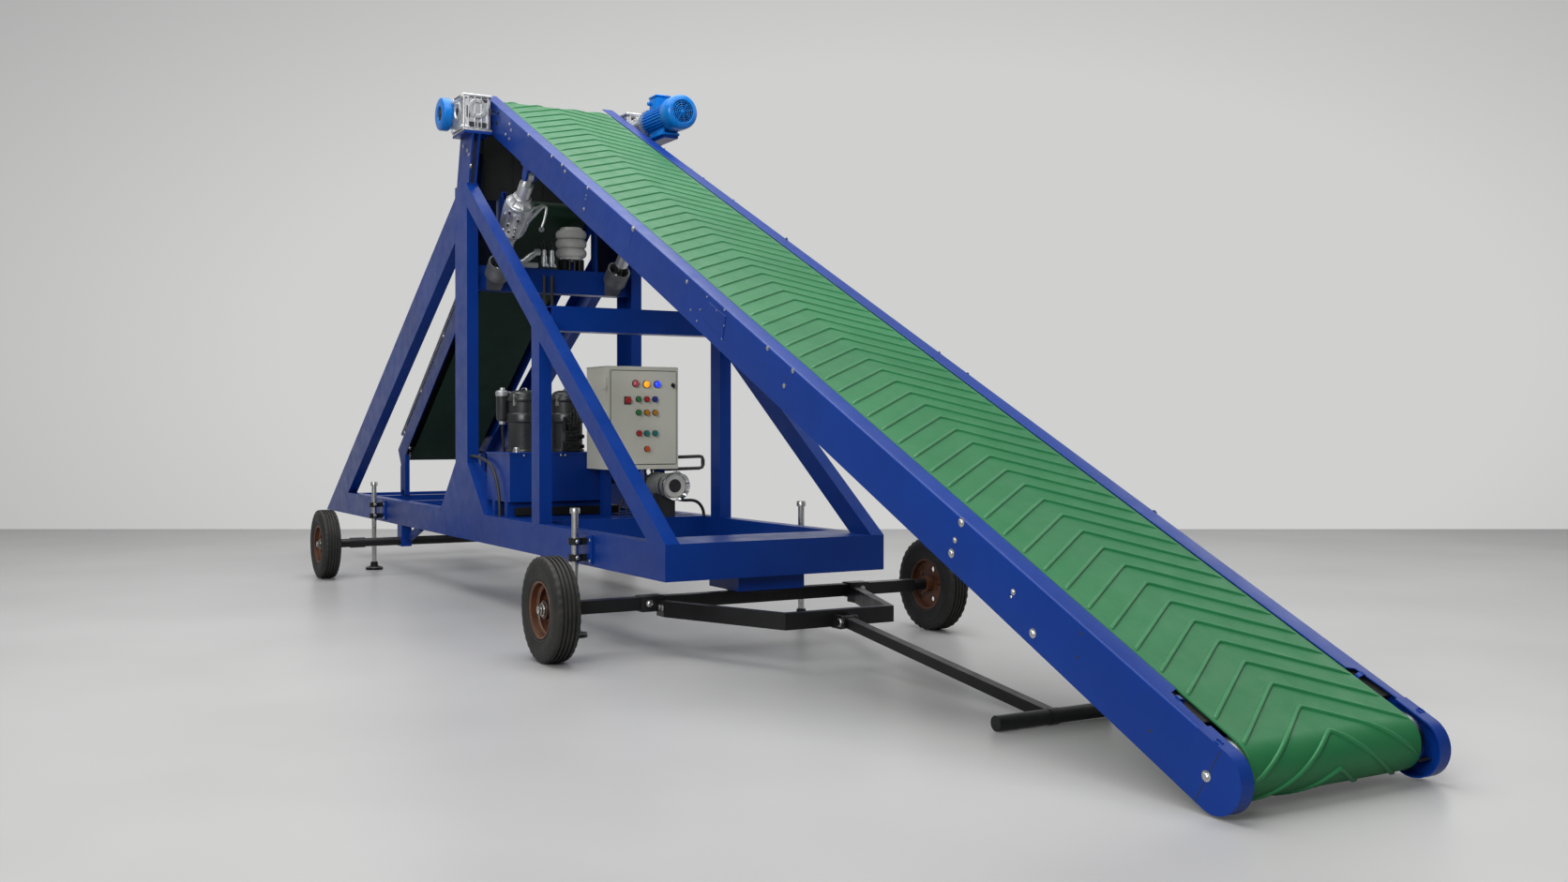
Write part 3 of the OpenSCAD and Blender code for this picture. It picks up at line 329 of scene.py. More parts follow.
def scuff_mask(group, amount):
    """Rubbed spots and chips: a fine noise cut to its peaks, inside wide patches, times amount."""
    fine = spread(group, noise(group, 70, 5, 0.7), 0.64, 0.74)
    wide = spread(group, noise(group, 1.7, 4, 0.6), 0.5, 0.72)
    return math_node(group, "MULTIPLY", math_node(group, "MULTIPLY", fine, wide), amount)


DRIFT = mixing_group("colour_drift", "Shade", "Scale", drift_mask)
# Dust and painted top light: the mixed colour is real dust where it is grey, and painted light from above where
# it is a lighter tint of the paint.
DUST_AND_TOP_LIGHT = mixing_group("dust_and_top_light_group", "Dust", "Amount", dust_and_top_light_mask)
SCUFFS = mixing_group("rubbed_spots", "Bare", "Amount", scuff_mask)


def use_group(tree, group, **values):
    """Colour from a shader group with its inputs fed."""
    node = tree.nodes.new("ShaderNodeGroup")
    node.node_tree = group
    for label, value in values.items():
        feed(tree, node.inputs[label], value)
    return node.outputs["Color"]


def node_material(name):
    """Material with nodes, its tree, and the shader that comes with it."""
    material = bpy.data.materials.new(name)
    material.use_nodes = True
    return material, material.node_tree, material.node_tree.nodes["Principled BSDF"]


def finish_of(name, slot, base, shade, rough, dust_and_top_light, metal=0.0, drift=2.5, scuff=0.0, bare=(0.5, 0.5, 0.5),
              grain=(400, 0.05), coat=0.0, specular=0.5, dust_and_top_light_color=(0.42, 0.41, 0.38)):
    """Material with colour drift, rubbed spots, a fine grain, and dust and painted top light on faces that look
    up, on one
    Principled shader. The first one made for a slot is also the CAD nodes' material there."""
    material, tree, shader = node_material(name)
    SLOT_OF[material.name] = slot
    MATERIAL_FOR.setdefault(slot, material)
    color = use_group(tree, DRIFT, Base=base, Shade=shade, Scale=drift)
    if scuff:
        color = use_group(tree, SCUFFS, Base=color, Bare=bare, Amount=scuff)
    bump = fed_node(tree, "Bump", Strength=grain[1], Distance=0.002, Height=noise(tree, grain[0], 3, 0.6))
    for label, value in (("Metallic", metal), ("Specular IOR Level", specular), ("Coat Weight", coat),
                         ("Coat Roughness", 0.1), ("Normal", bump.outputs["Normal"]),
                         ("Base Color", use_group(tree, DUST_AND_TOP_LIGHT, Base=color, Dust=dust_and_top_light_color, Amount=dust_and_top_light)),
                         ("Roughness", spread(tree, noise(tree, 9, 6), 0.3, 0.7, max(rough - 0.06, 0.04),
                                              rough + 0.08))):
        feed(tree, shader.inputs[label], value)
    return material


def lit_of(name, color, strength):
    """Lamp lens that glows, brighter at the patches of a soft noise."""
    material = finish_of(name, "azure_paint", color, color, 0.2, dust_and_top_light=0.02, grain=(600, 0.02), coat=0.4)
    tree = material.node_tree
    shader = tree.nodes["Principled BSDF"]
    bright = tuple(min(1, 1.2 * c + 0.03) for c in color)
    glow = blended(tree, spread(tree, noise(tree, 30, 2), 0.3, 0.7), color, bright)
    tree.links.new(glow, shader.inputs["Emission Color"])
    shader.inputs["Emission Strength"].default_value = strength
    return material


# The lighter blue mixed onto faces that look up is painted top light, not dust.
blue_paint = finish_of("royal_blue_paint", "blue_paint", (0.002, 0.034, 0.235), (0.002, 0.027, 0.19), 0.34,
                       dust_and_top_light=0.08, scuff=0.2, bare=(0.012, 0.055, 0.3), grain=(420, 0.012), specular=0.2,
                       dust_and_top_light_color=(0.05, 0.12, 0.4), drift=1.6)
# The lighter green mixed onto faces that look up is painted top light, not dust.
belt_green = finish_of("green_belt", "green_belt", (0.012, 0.15, 0.048), (0.009, 0.12, 0.038), 0.46,
                       dust_and_top_light=0.2, scuff=0.25, bare=(0.1, 0.26, 0.14), grain=(700, 0.06),
                       dust_and_top_light_color=(0.1, 0.27, 0.14), drift=1.1, specular=0.28)
# Painted highlight: the ribs are the belt's own rubber, painted lighter than the belt for the light on their
# tops; the lighter green on faces that look up is painted top light.
highlit_rib_green = finish_of("green_rib_painted_highlight", "green_belt", (0.015, 0.17, 0.056), (0.012, 0.14, 0.046), 0.44, dust_and_top_light=0.2,
                      grain=(700, 0.05), dust_and_top_light_color=(0.1, 0.27, 0.14), specular=0.34)
# Painted shade: the rear conveyor's green rubber belt is painted near black for the deep shade it lies in; the
# lighter tint on faces that look up is painted top light.
painted_shade_belt = finish_of("shaded_belt", "green_belt", (0.005, 0.021, 0.012), (0.007, 0.027, 0.015), 0.5, dust_and_top_light=0.06,
                      specular=0.2, grain=(700, 0.12), dust_and_top_light_color=(0.03, 0.07, 0.04))
black_paint = finish_of("black_paint", "black_paint", (0.006, 0.006, 0.007), (0.01, 0.01, 0.011), 0.34,
                        dust_and_top_light=0.08, scuff=0.3, bare=(0.05, 0.05, 0.05), grain=(220, 0.05), specular=0.3)
tyre_rubber = finish_of("tyre_rubber", "tyre", (0.014, 0.0135, 0.013), (0.024, 0.023, 0.021), 0.62, dust_and_top_light=0.3,
                        grain=(500, 0.1), dust_and_top_light_color=(0.08, 0.075, 0.068), drift=8, specular=0.35)
hose_rubber = finish_of("hose_rubber", "hose_rubber", (0.01, 0.01, 0.011), (0.018, 0.018, 0.018), 0.5,
                        dust_and_top_light=0.12, grain=(900, 0.15))
zinc_plate = finish_of("zinc_plate", "zinc", (0.62, 0.62, 0.6), (0.48, 0.48, 0.47), 0.28, metal=1.0, dust_and_top_light=0.08,
                       grain=(500, 0.06), drift=14)
cast_silver = finish_of("cast_silver", "cast_silver", (0.66, 0.67, 0.68), (0.46, 0.47, 0.48), 0.36, metal=0.8,
                        dust_and_top_light=0.15, scuff=0.5, bare=(0.2, 0.2, 0.2), grain=(190, 0.35), drift=9)
# The lighter azure mixed onto faces that look up is painted top light, not dust.
azure_enamel = finish_of("azure_enamel", "azure_paint", (0.001, 0.18, 0.62), (0.001, 0.15, 0.53), 0.28,
                         dust_and_top_light=0.04, grain=(300, 0.015), specular=0.32, dust_and_top_light_color=(0.05, 0.26, 0.6))
dark_enamel = finish_of("dark_enamel", "dark_paint", (0.034, 0.035, 0.036), (0.056, 0.058, 0.058), 0.3,
                        metal=0.5, dust_and_top_light=0.2, scuff=0.5, bare=(0.25, 0.25, 0.24), grain=(240, 0.1))
rim_brown = finish_of("rim_brown", "rim_brown", (0.15, 0.058, 0.026), (0.07, 0.028, 0.015), 0.42, metal=0.25,
                      dust_and_top_light=0.15, scuff=0.6, bare=(0.3, 0.17, 0.1), grain=(180, 0.2), drift=11)
cabinet_beige = finish_of("cabinet_beige", "cabinet_beige", (0.66, 0.655, 0.555), (0.62, 0.615, 0.52), 0.42,
                          dust_and_top_light=0.05, grain=(600, 0.05), drift=1.6)
shadow_navy = finish_of("shaded_navy", "blue_paint", (0.002, 0.006, 0.03), (0.002, 0.004, 0.02), 0.5,
                        dust_and_top_light=0.04, grain=(300, 0.02), specular=0.25)
pale_rubber = finish_of("pale_bellows", "cast_silver", (0.62, 0.61, 0.58), (0.48, 0.47, 0.45), 0.34, dust_and_top_light=0.12,
                        grain=(300, 0.04), drift=9)
cup_grey = finish_of("cup_grey", "cast_silver", (0.16, 0.165, 0.175), (0.09, 0.095, 0.105), 0.4, metal=0.3,
                     dust_and_top_light=0.1, scuff=0.4, bare=(0.4, 0.4, 0.4), grain=(220, 0.08), drift=9)
# Dark joints and gap lines, and painted shade: flat dark plates and discs for the shade inside holes, recesses,
# pockets and wells.
seam_and_painted_shade = finish_of("dark_seam_and_painted_shade", "black_paint", (0.012, 0.012, 0.018), (0.03, 0.02, 0.018), 0.7, dust_and_top_light=0.05,
                      grain=(300, 0.2))
rust_brown = finish_of("rust_brown", "rim_brown", (0.16, 0.075, 0.04), (0.06, 0.035, 0.025), 0.7, dust_and_top_light=0.05,
                       grain=(400, 0.3), drift=30)
chrome_rim = finish_of("bright_ring", "zinc", (0.8, 0.8, 0.79), (0.68, 0.68, 0.67), 0.16, metal=1.0,
                       dust_and_top_light=0.03, grain=(300, 0.02))
cooler_grey = finish_of("cooler_grey", "dark_paint", (0.23, 0.235, 0.23), (0.16, 0.165, 0.16), 0.4, metal=0.4,
                        dust_and_top_light=0.15, grain=(240, 0.06), drift=9)
lenses = {"rose": finish_of("lens_rose", "azure_paint", (0.62, 0.1, 0.14), (0.5, 0.07, 0.1), 0.18, dust_and_top_light=0.03,
                            coat=0.5),
          "amber": lit_of("lens_amber", (1.0, 0.33, 0.0), 0.75),
          "blue": lit_of("lens_blue", (0.0, 0.035, 0.85), 0.8)}
button_tints = {"green": ((0.025, 0.22, 0.06), (0.02, 0.17, 0.05)),
                "red": ((0.5, 0.018, 0.025), (0.4, 0.014, 0.02)),
                "blue": ((0.02, 0.03, 0.32), (0.016, 0.024, 0.25)),
                "amber": ((0.62, 0.26, 0.01), (0.5, 0.2, 0.01)),
                "teal": ((0.01, 0.21, 0.2), (0.008, 0.16, 0.16)),
                "orange": ((0.7, 0.09, 0.01), (0.55, 0.07, 0.01))}
button_paints = {label: finish_of(f"button_{label}", "azure_paint", *tints, 0.3, dust_and_top_light=0.03, coat=0.3)
                 for label, tints in button_tints.items()}

for entry in frame["record"]["subparts"]:
    part = nodes[entry["node"]]
    part.data.materials.clear()
    part.data.materials.append(MATERIAL_FOR[entry["material_slot"]])
# Painted shade: the rear belt gets the near-black belt paint instead of its green.
nodes["rear_belt"].data.materials[0] = painted_shade_belt
nodes["cylinder_cups"].data.materials[0] = cup_grey


# Boom: folded side sheets, belt with chevron ribs, drums, bolts, hooks

def boom_sheet():
    """Folded sheet of the near side: a web with a flange bent inward over a round corner, carried down the
    boom; the flange steps back near the nose."""
    bend, top = 0.01, BOOM_NOSE
    a = np.linspace(0, math.pi / 2, 7)
    corner = np.stack([np.cos(a), np.sin(a)], -1)
    centre = np.array([BOOM_HALF - bend, top - bend])
    outer, inner = centre + bend * corner, (centre + (bend - PLATE_T) * corner)[::-1]
    along = np.array([BOOM_HEAD, 0, 1, 2, 3, 4, 5, 6, 7, 7.455, 7.47, 7.5, 7.6, CAP_START])
    reach = np.interp(along, [7.455, 7.47, 7.6], [0.424, 0.46, 0.47])
    rows = []
    for s, edge in zip(along, reach):
        lip = np.array([edge, top]) + mm(2, 0, 0, -2, 0, -5, 2, -6)
        ring = np.concatenate([[(BOOM_HALF, -top)], outer, lip, inner, [(BOOM_HALF - PLATE_T, -top)]])
        rows.append(np.column_stack([np.full(len(ring), s), -ring[:, 0], ring[:, 1]]))
    return carried(in_boom(np.array(rows)))


new_piece("boom_sheets", both_sides([boom_sheet()]), blue_paint, 30, "boom", "boom_plates")

BELT_HALF, BELT_T = 0.418, 0.008
BELT_TURN = math.pi * BELT_R
BELT_LOOP = 2 * BELT_RUN + 2 * BELT_TURN
RIB_COUNT, RIB_START = 121, 0.0125
RIB_LEAD, RIB_HALF = 0.269, 0.402


def belt_point(s, y, h):
    """Point of the boom's belt at length s round the loop, y across it and h above its face.
    Top run, half circle at the tail, lower run, half circle at the head."""
    s = np.mod(s, BELT_LOOP)
    r = BELT_R + h
    tail = (s - BELT_RUN) / BELT_R
    head = (s - 2 * BELT_RUN - BELT_TURN) / BELT_R
    runs = [s < BELT_RUN, s < BELT_RUN + BELT_TURN, s < 2 * BELT_RUN + BELT_TURN]
    x = np.select(runs, [s, BELT_RUN + r * np.sin(tail), 2 * BELT_RUN + BELT_TURN - s], -r * np.sin(head))
    z = np.select(runs, [r, r * np.cos(tail), -r], -r * np.cos(head))
    return in_boom(np.stack([x, np.broadcast_to(y, x.shape), z], -1))


def belt_skin():
    """Endless belt: a flat strip with rounded edges carried round the loop, stations closer on the pulleys."""
    half_loop = np.concatenate([np.linspace(0, BELT_RUN, 60, endpoint=False),
                                BELT_RUN + np.linspace(0, BELT_TURN, 32, endpoint=False)])
    s = np.concatenate([half_loop, BELT_RUN + BELT_TURN + half_loop])[:, None]
    y = np.array([-1, -0.5, 0, 0.5, 1, 1.0, 1, 0.5, 0, -0.5, -1, -1.0]) * BELT_HALF
    y += np.array([0.002, 0, 0, 0, -0.002, 0, -0.002, 0, 0, 0, 0.002, 0])
    h = np.array([0, 0, 0, 0, 0, -0.5, -1, -1, -1, -1, -1, -0.5]) * BELT_T
    return carried(belt_point(s + 0 * y, y + 0 * s, h + 0 * s), loop=True)


def belt_ribs():
    """Chevron ribs: a low rounded ridge along s = apex + lead |y| / half, repeated round the loop; the
    ridge sinks at its two ends."""
    y = np.concatenate([np.linspace(-RIB_HALF, -0.02, 14), [0.0], np.linspace(0.02, RIB_HALF, 14)])[:, None]
    lead = RIB_LEAD * np.sqrt(y**2 + 0.006**2) / RIB_HALF
    across, height = mm(-10.5, -1.5, -8, 5.8, -3.5, 8, 3.5, 8, 8, 5.8, 10.5, -1.5).T
    fade = np.clip((RIB_HALF - np.abs(y)) / 0.01, 0.25, 1.0)
    height = height * np.where(height > 0, fade, 1)
    starts = RIB_START + np.arange(RIB_COUNT) * BELT_LOOP / RIB_COUNT
    return [carried(belt_point(s + lead + across, y + 0 * across, height)) for s in starts]


new_piece("belt_loop", [belt_skin()], belt_green, 30, "boom", "boom_belt")
# The chevrons carry the lighter rib paint, a painted highlight.
new_piece("belt_chevrons", belt_ribs(), highlit_rib_green, 60, "boom")


def drum(centre, radius, shaft_end, half=0.449):
    """Pulley drum: a turned shell with rounded rims and recessed ends, on a through shaft."""
    rim = np.array([half, radius]) + mm(-2, 0, 0, -2, 0, -22, -12, -26)
    right = np.concatenate([rim, [(half - 0.012, 0.03), (shaft_end - 0.002, 0.03), (shaft_end, 0.028)]])
    return turned(np.concatenate([right[::-1] * (-1, 1), right]), centre, Y, 72)


drums = [drum(HINGE, 0.0872, 0.7), drum(in_boom([BELT_RUN, 0, 0]), 0.0978, 0.509)]
new_piece("boom_drums", drums, zinc_plate, 35, "boom", "boom_pulleys")

# Places on the boom's side, (along, up) in millimetres
SIDE_BOLTS = mm(470, 64, 520, 34, 420, -27, 505, -35, 876, 100, 1367, 97, 1570, 100, 1636, 79, 2050, 100,
                2050, -37, 3605, 75, 4571, 100, 4840, 100, 4797, 2, 6285, 11, 6682, 16)
SMALL_BOLTS = mm(2050, 52, 2050, 28, 3864, 89, 3716, -45, 3822, 0, 3810, -70, 3997, 66, 4076, 100, 4108, 26,
                 4115, -44, 6682, -6)
BIG_BOLTS = mm(2814, 100, 6291, 95, 6288, -47, 6845, -61, 7753, -6)
SIDE_HOLES = mm(3800, 86, 4572, 15, 4806, 47, 7063, 79, 7085, -5, 7487, -27)
HEAD_BOLTS = mm(100, 55, 200, 70, 85, -30, 190, -5)
ACCESS_COVER = mm(3895, -34, 4122, -43, 4104, 77, 3894, 73)
WEB = in_boom([0, -BOOM_HALF, 0])


def on_web(places):
    """Points of the near web at (along, up) places."""
    return WEB + places @ np.stack([BOOM_X, BOOM_Z])


def web_plate(outline, depth, bevel):
    return plate(outline, WEB, BOOM_X, BOOM_Z, depth, bevel)


def side_strip(a, b, width, depth=0.0006):
    """Thin strip on the near web from a to b, both (along, up)."""
    a, b = np.asarray(a, float), np.asarray(b, float)
    square = width / 2 * unit(np.array([a[1] - b[1], b[0] - a[0]]))
    return web_plate([a - square, b - square, b + square, a + square], depth, depth / 3)


side_bolts = (bolts(on_web(SIDE_BOLTS), -Y, 0.0085) + bolts(on_web(SMALL_BOLTS), -Y, 0.006, False)
              + bolts(on_web(BIG_BOLTS), -Y, 0.0125))
# Painted shade: dark discs on the web stand for the shade inside the holes.
side_holes = [turned(mm(0, 6, 0.6, 5.5), at, -Y, 12) for at in on_web(SIDE_HOLES)]
side_seams = [side_strip((7.748, -0.109), (7.765, 0.101), 0.0035),
              side_strip((1.364, -0.06), (1.372, 0.085), 0.002),
              side_strip((2.81, -0.02), (2.815, 0.07), 0.0015)]


def hook_tab():
    """Rolled tab where the flange steps back: a strip curled down toward the belt."""
    a = np.linspace(0, 2.2, 9)
    curl = np.stack([0 * a, np.sin(a), np.cos(a)], -1)
    face = (0, -0.464, BOOM_NOSE - 0.012) + curl * (0, 0.03, 0.016)
    back = face + curl * (0, -0.004, -0.004)
    ring = np.concatenate([face, back[::-1]])
    return carried(in_boom([ring + (s, 0, 0) for s in (7.492, 7.512)]))


t = np.linspace(0.7, 5.4, 16)
cap_clip = in_boom(np.stack([7.735 + 0.014 * np.cos(t), -0.497 + 0.011 * np.sin(t), np.full(16, 0.1115)], -1))
cap_buffer = block(in_boom([7.8, -0.505, -0.045]), in_boom([7.84, -0.44, -0.015]))
for name, near_side, material, smooth in (
        ("boom_side_bolts", side_bolts, zinc_plate, 30),
        ("boom_head_bolts", bolts(on_web(HEAD_BOLTS), -Y, 0.011), black_paint, 30),
        ("boom_side_holes", side_holes, seam_and_painted_shade, 30),
        ("boom_access_covers", [web_plate(ACCESS_COVER, 0.0035, 0.0012)], blue_paint, 30),
        ("boom_side_seams", side_seams, seam_and_painted_shade, 30),
        ("flange_hooks", [hook_tab()], blue_paint, 40),
        ("cap_clips", [swept(cap_clip, 0.003, 8)], blue_paint, 50),
        ("cap_buffers", [cap_buffer], hose_rubber, 30)):
    new_piece(name, both_sides(near_side), material, smooth, "boom")


# Head drive: gearboxes, motors, brackets

HUB_Z = HINGE[2]
GEAR_LOW = np.array([HINGE[0] - GEAR_HALF_X, GEAR_IN, HUB_Z - GEAR_HALF_H])
GEAR_HIGH = np.array([HINGE[0] + GEAR_HALF_X, GEAR_OUT, HUB_Z + 0.115])
NEAR_MOTOR = np.array([-1.54, 0.75, 3.55])
LANTERN, FAN = np.array([-0.977, 0.655, 3.53]), np.array([-0.602, 0.655, 3.53])


def gear_casting():
    """Worm-gear housing of the left side: a block with a ribbed front, a bored hub ring with its bolt circle,
    corner bosses and a round inspection cover."""
    low, high = GEAR_LOW, GEAR_HIGH
    x0, y0, z0 = low
    x1, y1, z1 = high
    parts = [block(low + (0.01, 0.006, 0.008), high - (0.012, 0.006, 0.008), 0.022)]
    parts += [block((x0, y0, z), (x1 - 0.004, y1, z + 0.022), 0.006) for z in (z0, z1 - 0.022)]
    parts.append(block((x0 + 0.004, y1 - 0.02, z0), (x1 - 0.004, y1, z1), 0.008))
    parts += [block((x1 - 0.016, y, z0 + 0.02), (x1, y + 0.009, z1 - 0.02), 0.003)
              for y in np.linspace(y0 + 0.03, y1 - 0.045, 4)]
    cover_at = (x1 - 0.026, (y0 + y1) / 2, (z0 + z1) / 2 + 0.03)
    parts.append(turned(mm(0, 72, 20, 72, 26, 66, 26, 45, 20, 40), cover_at, X, 40))
    hub = np.array([HINGE[0], y1 - 0.004, HUB_Z])
    parts.append(turned(mm(-20, 70, 10, 70, 13, 66, 13, 47, 4, 43, -16, 40, -18, 0), hub, Y, 48))
    parts += bolts(circle(hub + 0.012 * Y, 0.0575, 8, X, Z, 0.2), Y, 0.0055, False)
    for x in (x0 + 0.026, x1 - 0.028):
        for z in (z0 + 0.026, z1 - 0.026):
            parts.append(turned(mm(-50, 21, 5, 21, 8, 18), (x, y1, z), Y, 20))
            parts += bolt((x, y1 + 0.008, z), Y, 0.009, False)
    return parts


far_flange = [turned(mm(0, 88, 30, 92, 200, 90, 200, 112, 210, 112),
                     (HINGE[0] + GEAR_HALF_X - 0.02, *LANTERN[1:]), X, 40)]
far_flange += bolts(circle(LANTERN - 0.012 * X, 0.101, 6, Y, Z), -X, 0.007, False)
near_stage = mirrored([turned(mm(-200, 100, -60, 104, -30, 104, -12, 106, 0, 106), NEAR_MOTOR, Y, 48)])
new_piece("gear_castings", both_sides(gear_casting()) + far_flange + near_stage, cast_silver, 32,
          replaces="gearboxes")
shaft_end = turned(mm(0, 31, 20, 31, 23, 28, 18, 9), (HINGE[0], GEAR_OUT - 0.018, HUB_Z), Y, 32)
new_piece("gear_shaft_ends", both_sides([shaft_end]), black_paint, 32)
# Painted shade: dark plates on the casting's front stand for the shade in its recesses.
RECESSES = [(0.072, 0.05, 0.06, 0.036), (0.146, 0.05, 0.06, 0.036), (0.178, 0.14, 0.026, 0.09),
            (0.03, 0.15, 0.022, 0.06), (0.06, 0.225, 0.05, 0.022)]
recesses = [plate(rounded(w, h, 0.006, 2, (GEAR_IN + y, GEAR_LOW[2] + z)), (GEAR_HIGH[0] - 0.0135, 0, 0), Y, Z,
                  0.0035, 0.001) for y, z, w, h in RECESSES]
new_piece("gear_recesses", both_sides(recesses), seam_and_painted_shade, 32)


def ribbed_body(length, radius=0.108, fins=30, sides=180):
    """Finned motor frame along x: the radius rises by a square wave round the axis, except at its ends."""
    low = radius - 0.014
    rows = [(0, radius - 0.022), (0.014, low), (0.02, low), (0.021, low + 0.001),
            (length - 0.021, low + 0.001), (length - 0.02, low), (length, low)]
    swell = np.zeros((len(rows), sides))
    swell[3:5] = 0.013 * ((np.arange(sides) * fins * 2 // sides) % 2)
    return turned(rows, LANTERN, X, sides, swell)


def far_motor():
    """Fan-cooled motor: finned frame, end shields, cowl with a rounded rim, grille, terminal box and feet."""
    cowl = mm(0, 113, 0, 123, 6, 126, 100, 126, 116, 123, 128, 114, 136, 100, 139, 86, 137, 82, 125, 81,
              118, 81)
    parts = [ribbed_body(FAN[0] + 0.01 - LANTERN[0]), turned(cowl, FAN, X, 64)]
    for r in (70, 55, 40, 25):
        ring = mm(128, r, 126, r + 3.5, 130, r + 5.5, 135, r + 3.5, 136, r)
        parts.append(turned(ring, FAN, X, 48, loop=True))
    parts.append(turned(mm(122, 0, 122, 14, 134, 14, 137, 10, 137, 0), FAN, X, 24))
    grille_at = FAN + 0.131 * X
    for start, end in zip(circle(grille_at, 0.01, 8, Y, Z, 0.2), circle(grille_at, 0.084, 8, Y, Z, 0.2)):
        parts.append(swept(np.linspace(start, end, 3), 0.0035, 6, X))
    parts.append(block(LANTERN + (0.045, -0.055, 0.085), LANTERN + (0.18, 0.055, 0.17), 0.008))
    parts.append(block(LANTERN + (0.041, -0.06, 0.168), LANTERN + (0.184, 0.06, 0.185), 0.006))
    parts.append(block(LANTERN + (0.06, -0.07, -0.14), FAN + (-0.06, 0.07, -0.118), 0.006))
    for y in (-0.06, 0.045):
        parts.append(block(LANTERN + (0.07, y, -0.125), FAN + (-0.07, y + 0.015, -0.07), 0.005))
    parts.append(turned(mm(0, 15, 22, 15, 26, 12), LANTERN + (0.075, -0.055, 0.13), -Y, 16))
    return parts


near_body = turned(mm(0, 100, 1, 117, 5, 120, 55, 120, 64, 116, 70, 104, 70, 62, 66, 56, 58, 54, 56, 0),
                   NEAR_MOTOR, Y, 64)
new_piece("drive_motor_bodies", far_motor() + mirrored([near_body]), azure_enamel, 32, replaces="drive_motors")
# Painted shade: dark discs inside the fan cowl and the near motor's end stand for the shade in them.
far_well = turned(mm(112, 0, 112, 80, 118, 80, 119, 0), FAN, X, 40)
near_well = turned(mm(50, 0, 50, 52, 60, 50, 61, 20, 66, 16, 66, 0), NEAR_MOTOR, Y, 40)
new_piece("motor_fan_wells", [far_well] + mirrored([near_well]), seam_and_painted_shade, 32)

BRACKET_BOLTS = [(-1.387, 3.301), (-1.263, 3.217), (-1.22, 3.13), (-1.3, 3.255)]
new_piece("head_bracket_bolts", both_sides(bolts([(x, -0.683, z) for x, z in BRACKET_BOLTS], -Y, 0.011)),
          zinc_plate, 30)


# Lift cylinders: cast bodies with ribs, bosses, pockets and a crooked lever

LIFT = unit(CUP - PIN)
LIFT_FRAME = axis_frame(LIFT)
TO_FRONT = np.array([0.86, 0.5, -0.15])
FACING = unit(TO_FRONT - LIFT * np.dot(LIFT, TO_FRONT))
ACROSS = np.cross(LIFT, FACING)
POCKETS = [(0.3, -0.3, 0.013), (0.335, 0.45, 0.01), (0.4, -0.15, 0.009), (0.415, 0.4, 0.012),
           (0.45, 0.05, 0.01), (0.47, -0.45, 0.008), (0.48, 0.5, 0.009)]


def cast_body():
    """Bell-shaped casting about the left cylinder: radius = bell(height) + lobes(angle) + narrow ribs, with
    the lobes fading toward its two ends."""
    t = np.linspace(0, 1, 30)
    bell = np.interp(t, [0, 0.06, 0.1, 0.17, 0.32, 0.76, 0.85, 0.95, 1.0],
                     [0.05, 0.056, 0.062, 0.088, 0.09, 0.08, 0.074, 0.058, 0.044])
    sides = 96
    a = round_angles(sides)
    lobes = 0.01 * np.cos(2 * a + 0.6) + 0.006 * np.cos(3 * a + 0.8)
    from_rib = np.mod(a[:, None] - [0.5, 1.6, 2.5, 3.6, 4.4, 5.6] + math.pi, 2 * math.pi) - math.pi
    ribs = 0.015 * np.exp(-(from_rib / 0.05)**2).sum(1)
    swell = np.sin(math.pi * t)[:, None] ** 0.6 * (lobes + ribs)
    return turned(np.stack([0.19 + 0.375 * t, bell], -1), PIN, LIFT, sides, swell)


def cast_trim():
    """Bolted flanges and hollow bosses of the casting."""
    side, up = LIFT_FRAME
    parts = []
    for h, r, w in ((0.186, 0.064, 0.014), (0.245, 0.1, 0.016), (0.548, 0.058, 0.012)):
        near, far = mm(0, -20, 0, -3, 3, 0), mm(-3, 0, 0, -3, 0, -20)
        parts.append(turned(np.concatenate([near + (h, r), far + (h + w, r)]), PIN, LIFT, 48))
        parts += bolts(circle(PIN + LIFT * (h + w), r - 0.01, 7, side, up, 10 * h), LIFT, 0.008, False)
    for h, a, r, d in ((0.33, 0.2, 0.013, 0.026), (0.36, 4.2, 0.015, 0.028), (0.47, 2.9, 0.012, 0.026),
                       (0.5, 5.2, 0.014, 0.03), (0.42, 1.3, 0.011, 0.028), (0.44, 5.8, 0.012, 0.024)):
        rows = [(0.05, r + 0.004), (0.07 + 0.4 * d, r), (0.07 + d, r), (0.073 + d, 0.7 * r),
                (0.069 + d, 0.4 * r)]
        parts.append(turned(rows, PIN + LIFT * h, math.cos(a) * side + math.sin(a) * up, 20))
    return parts


def cast_pockets(deep):
    """Bosses on the casting's outer side, or the dark discs in them that are painted shade for their pockets,
    at (height, turn, radius) places.
    """
    parts = []
    for h, b, r in POCKETS:
        rows = ([(0.092, 0.0), (0.092, r), (0.0985, r), (0.099, 0.0)] if deep else
                [(0.05, r + 0.008), (0.094, r + 0.006), (0.098, r + 0.004), (0.098, 0.9 * r), (0.094, 0.8 * r)])
        parts.append(turned(rows, PIN + LIFT * h, math.cos(b) * FACING + math.sin(b) * ACROSS, 18))
    return parts


def cast_lever():
    """Arm on the casting's inner side with a thin lever that hangs from it and ends in an eye."""
    middle = PIN + LIFT * 0.36
    arm = smooth_path(middle + [(0.0, -0.045, -0.035), (0.01, -0.095, 0.005), (0.02, -0.145, 0.045),
                                (0.03, -0.19, 0.078)], 20)
    lever = smooth_path(middle + [(0.03, -0.18, 0.076), (0.03, -0.205, 0.072), (0.03, -0.212, 0.045),
                                  (0.025, -0.2, -0.02), (0.02, -0.18, -0.08)], 26)
    return [tapered(arm, [0, 0.5, 1], [0.05, 0.032, 0.014], 12, X),
            tapered(lever, [0, 0.3, 1], [0.015, 0.011, 0.008], 10, X),
            turned(mm(-10, 8, -10, 18, 10, 18, 10, 8), lever[-1] - (0, 0, 0.01), X, 18, loop=True)]


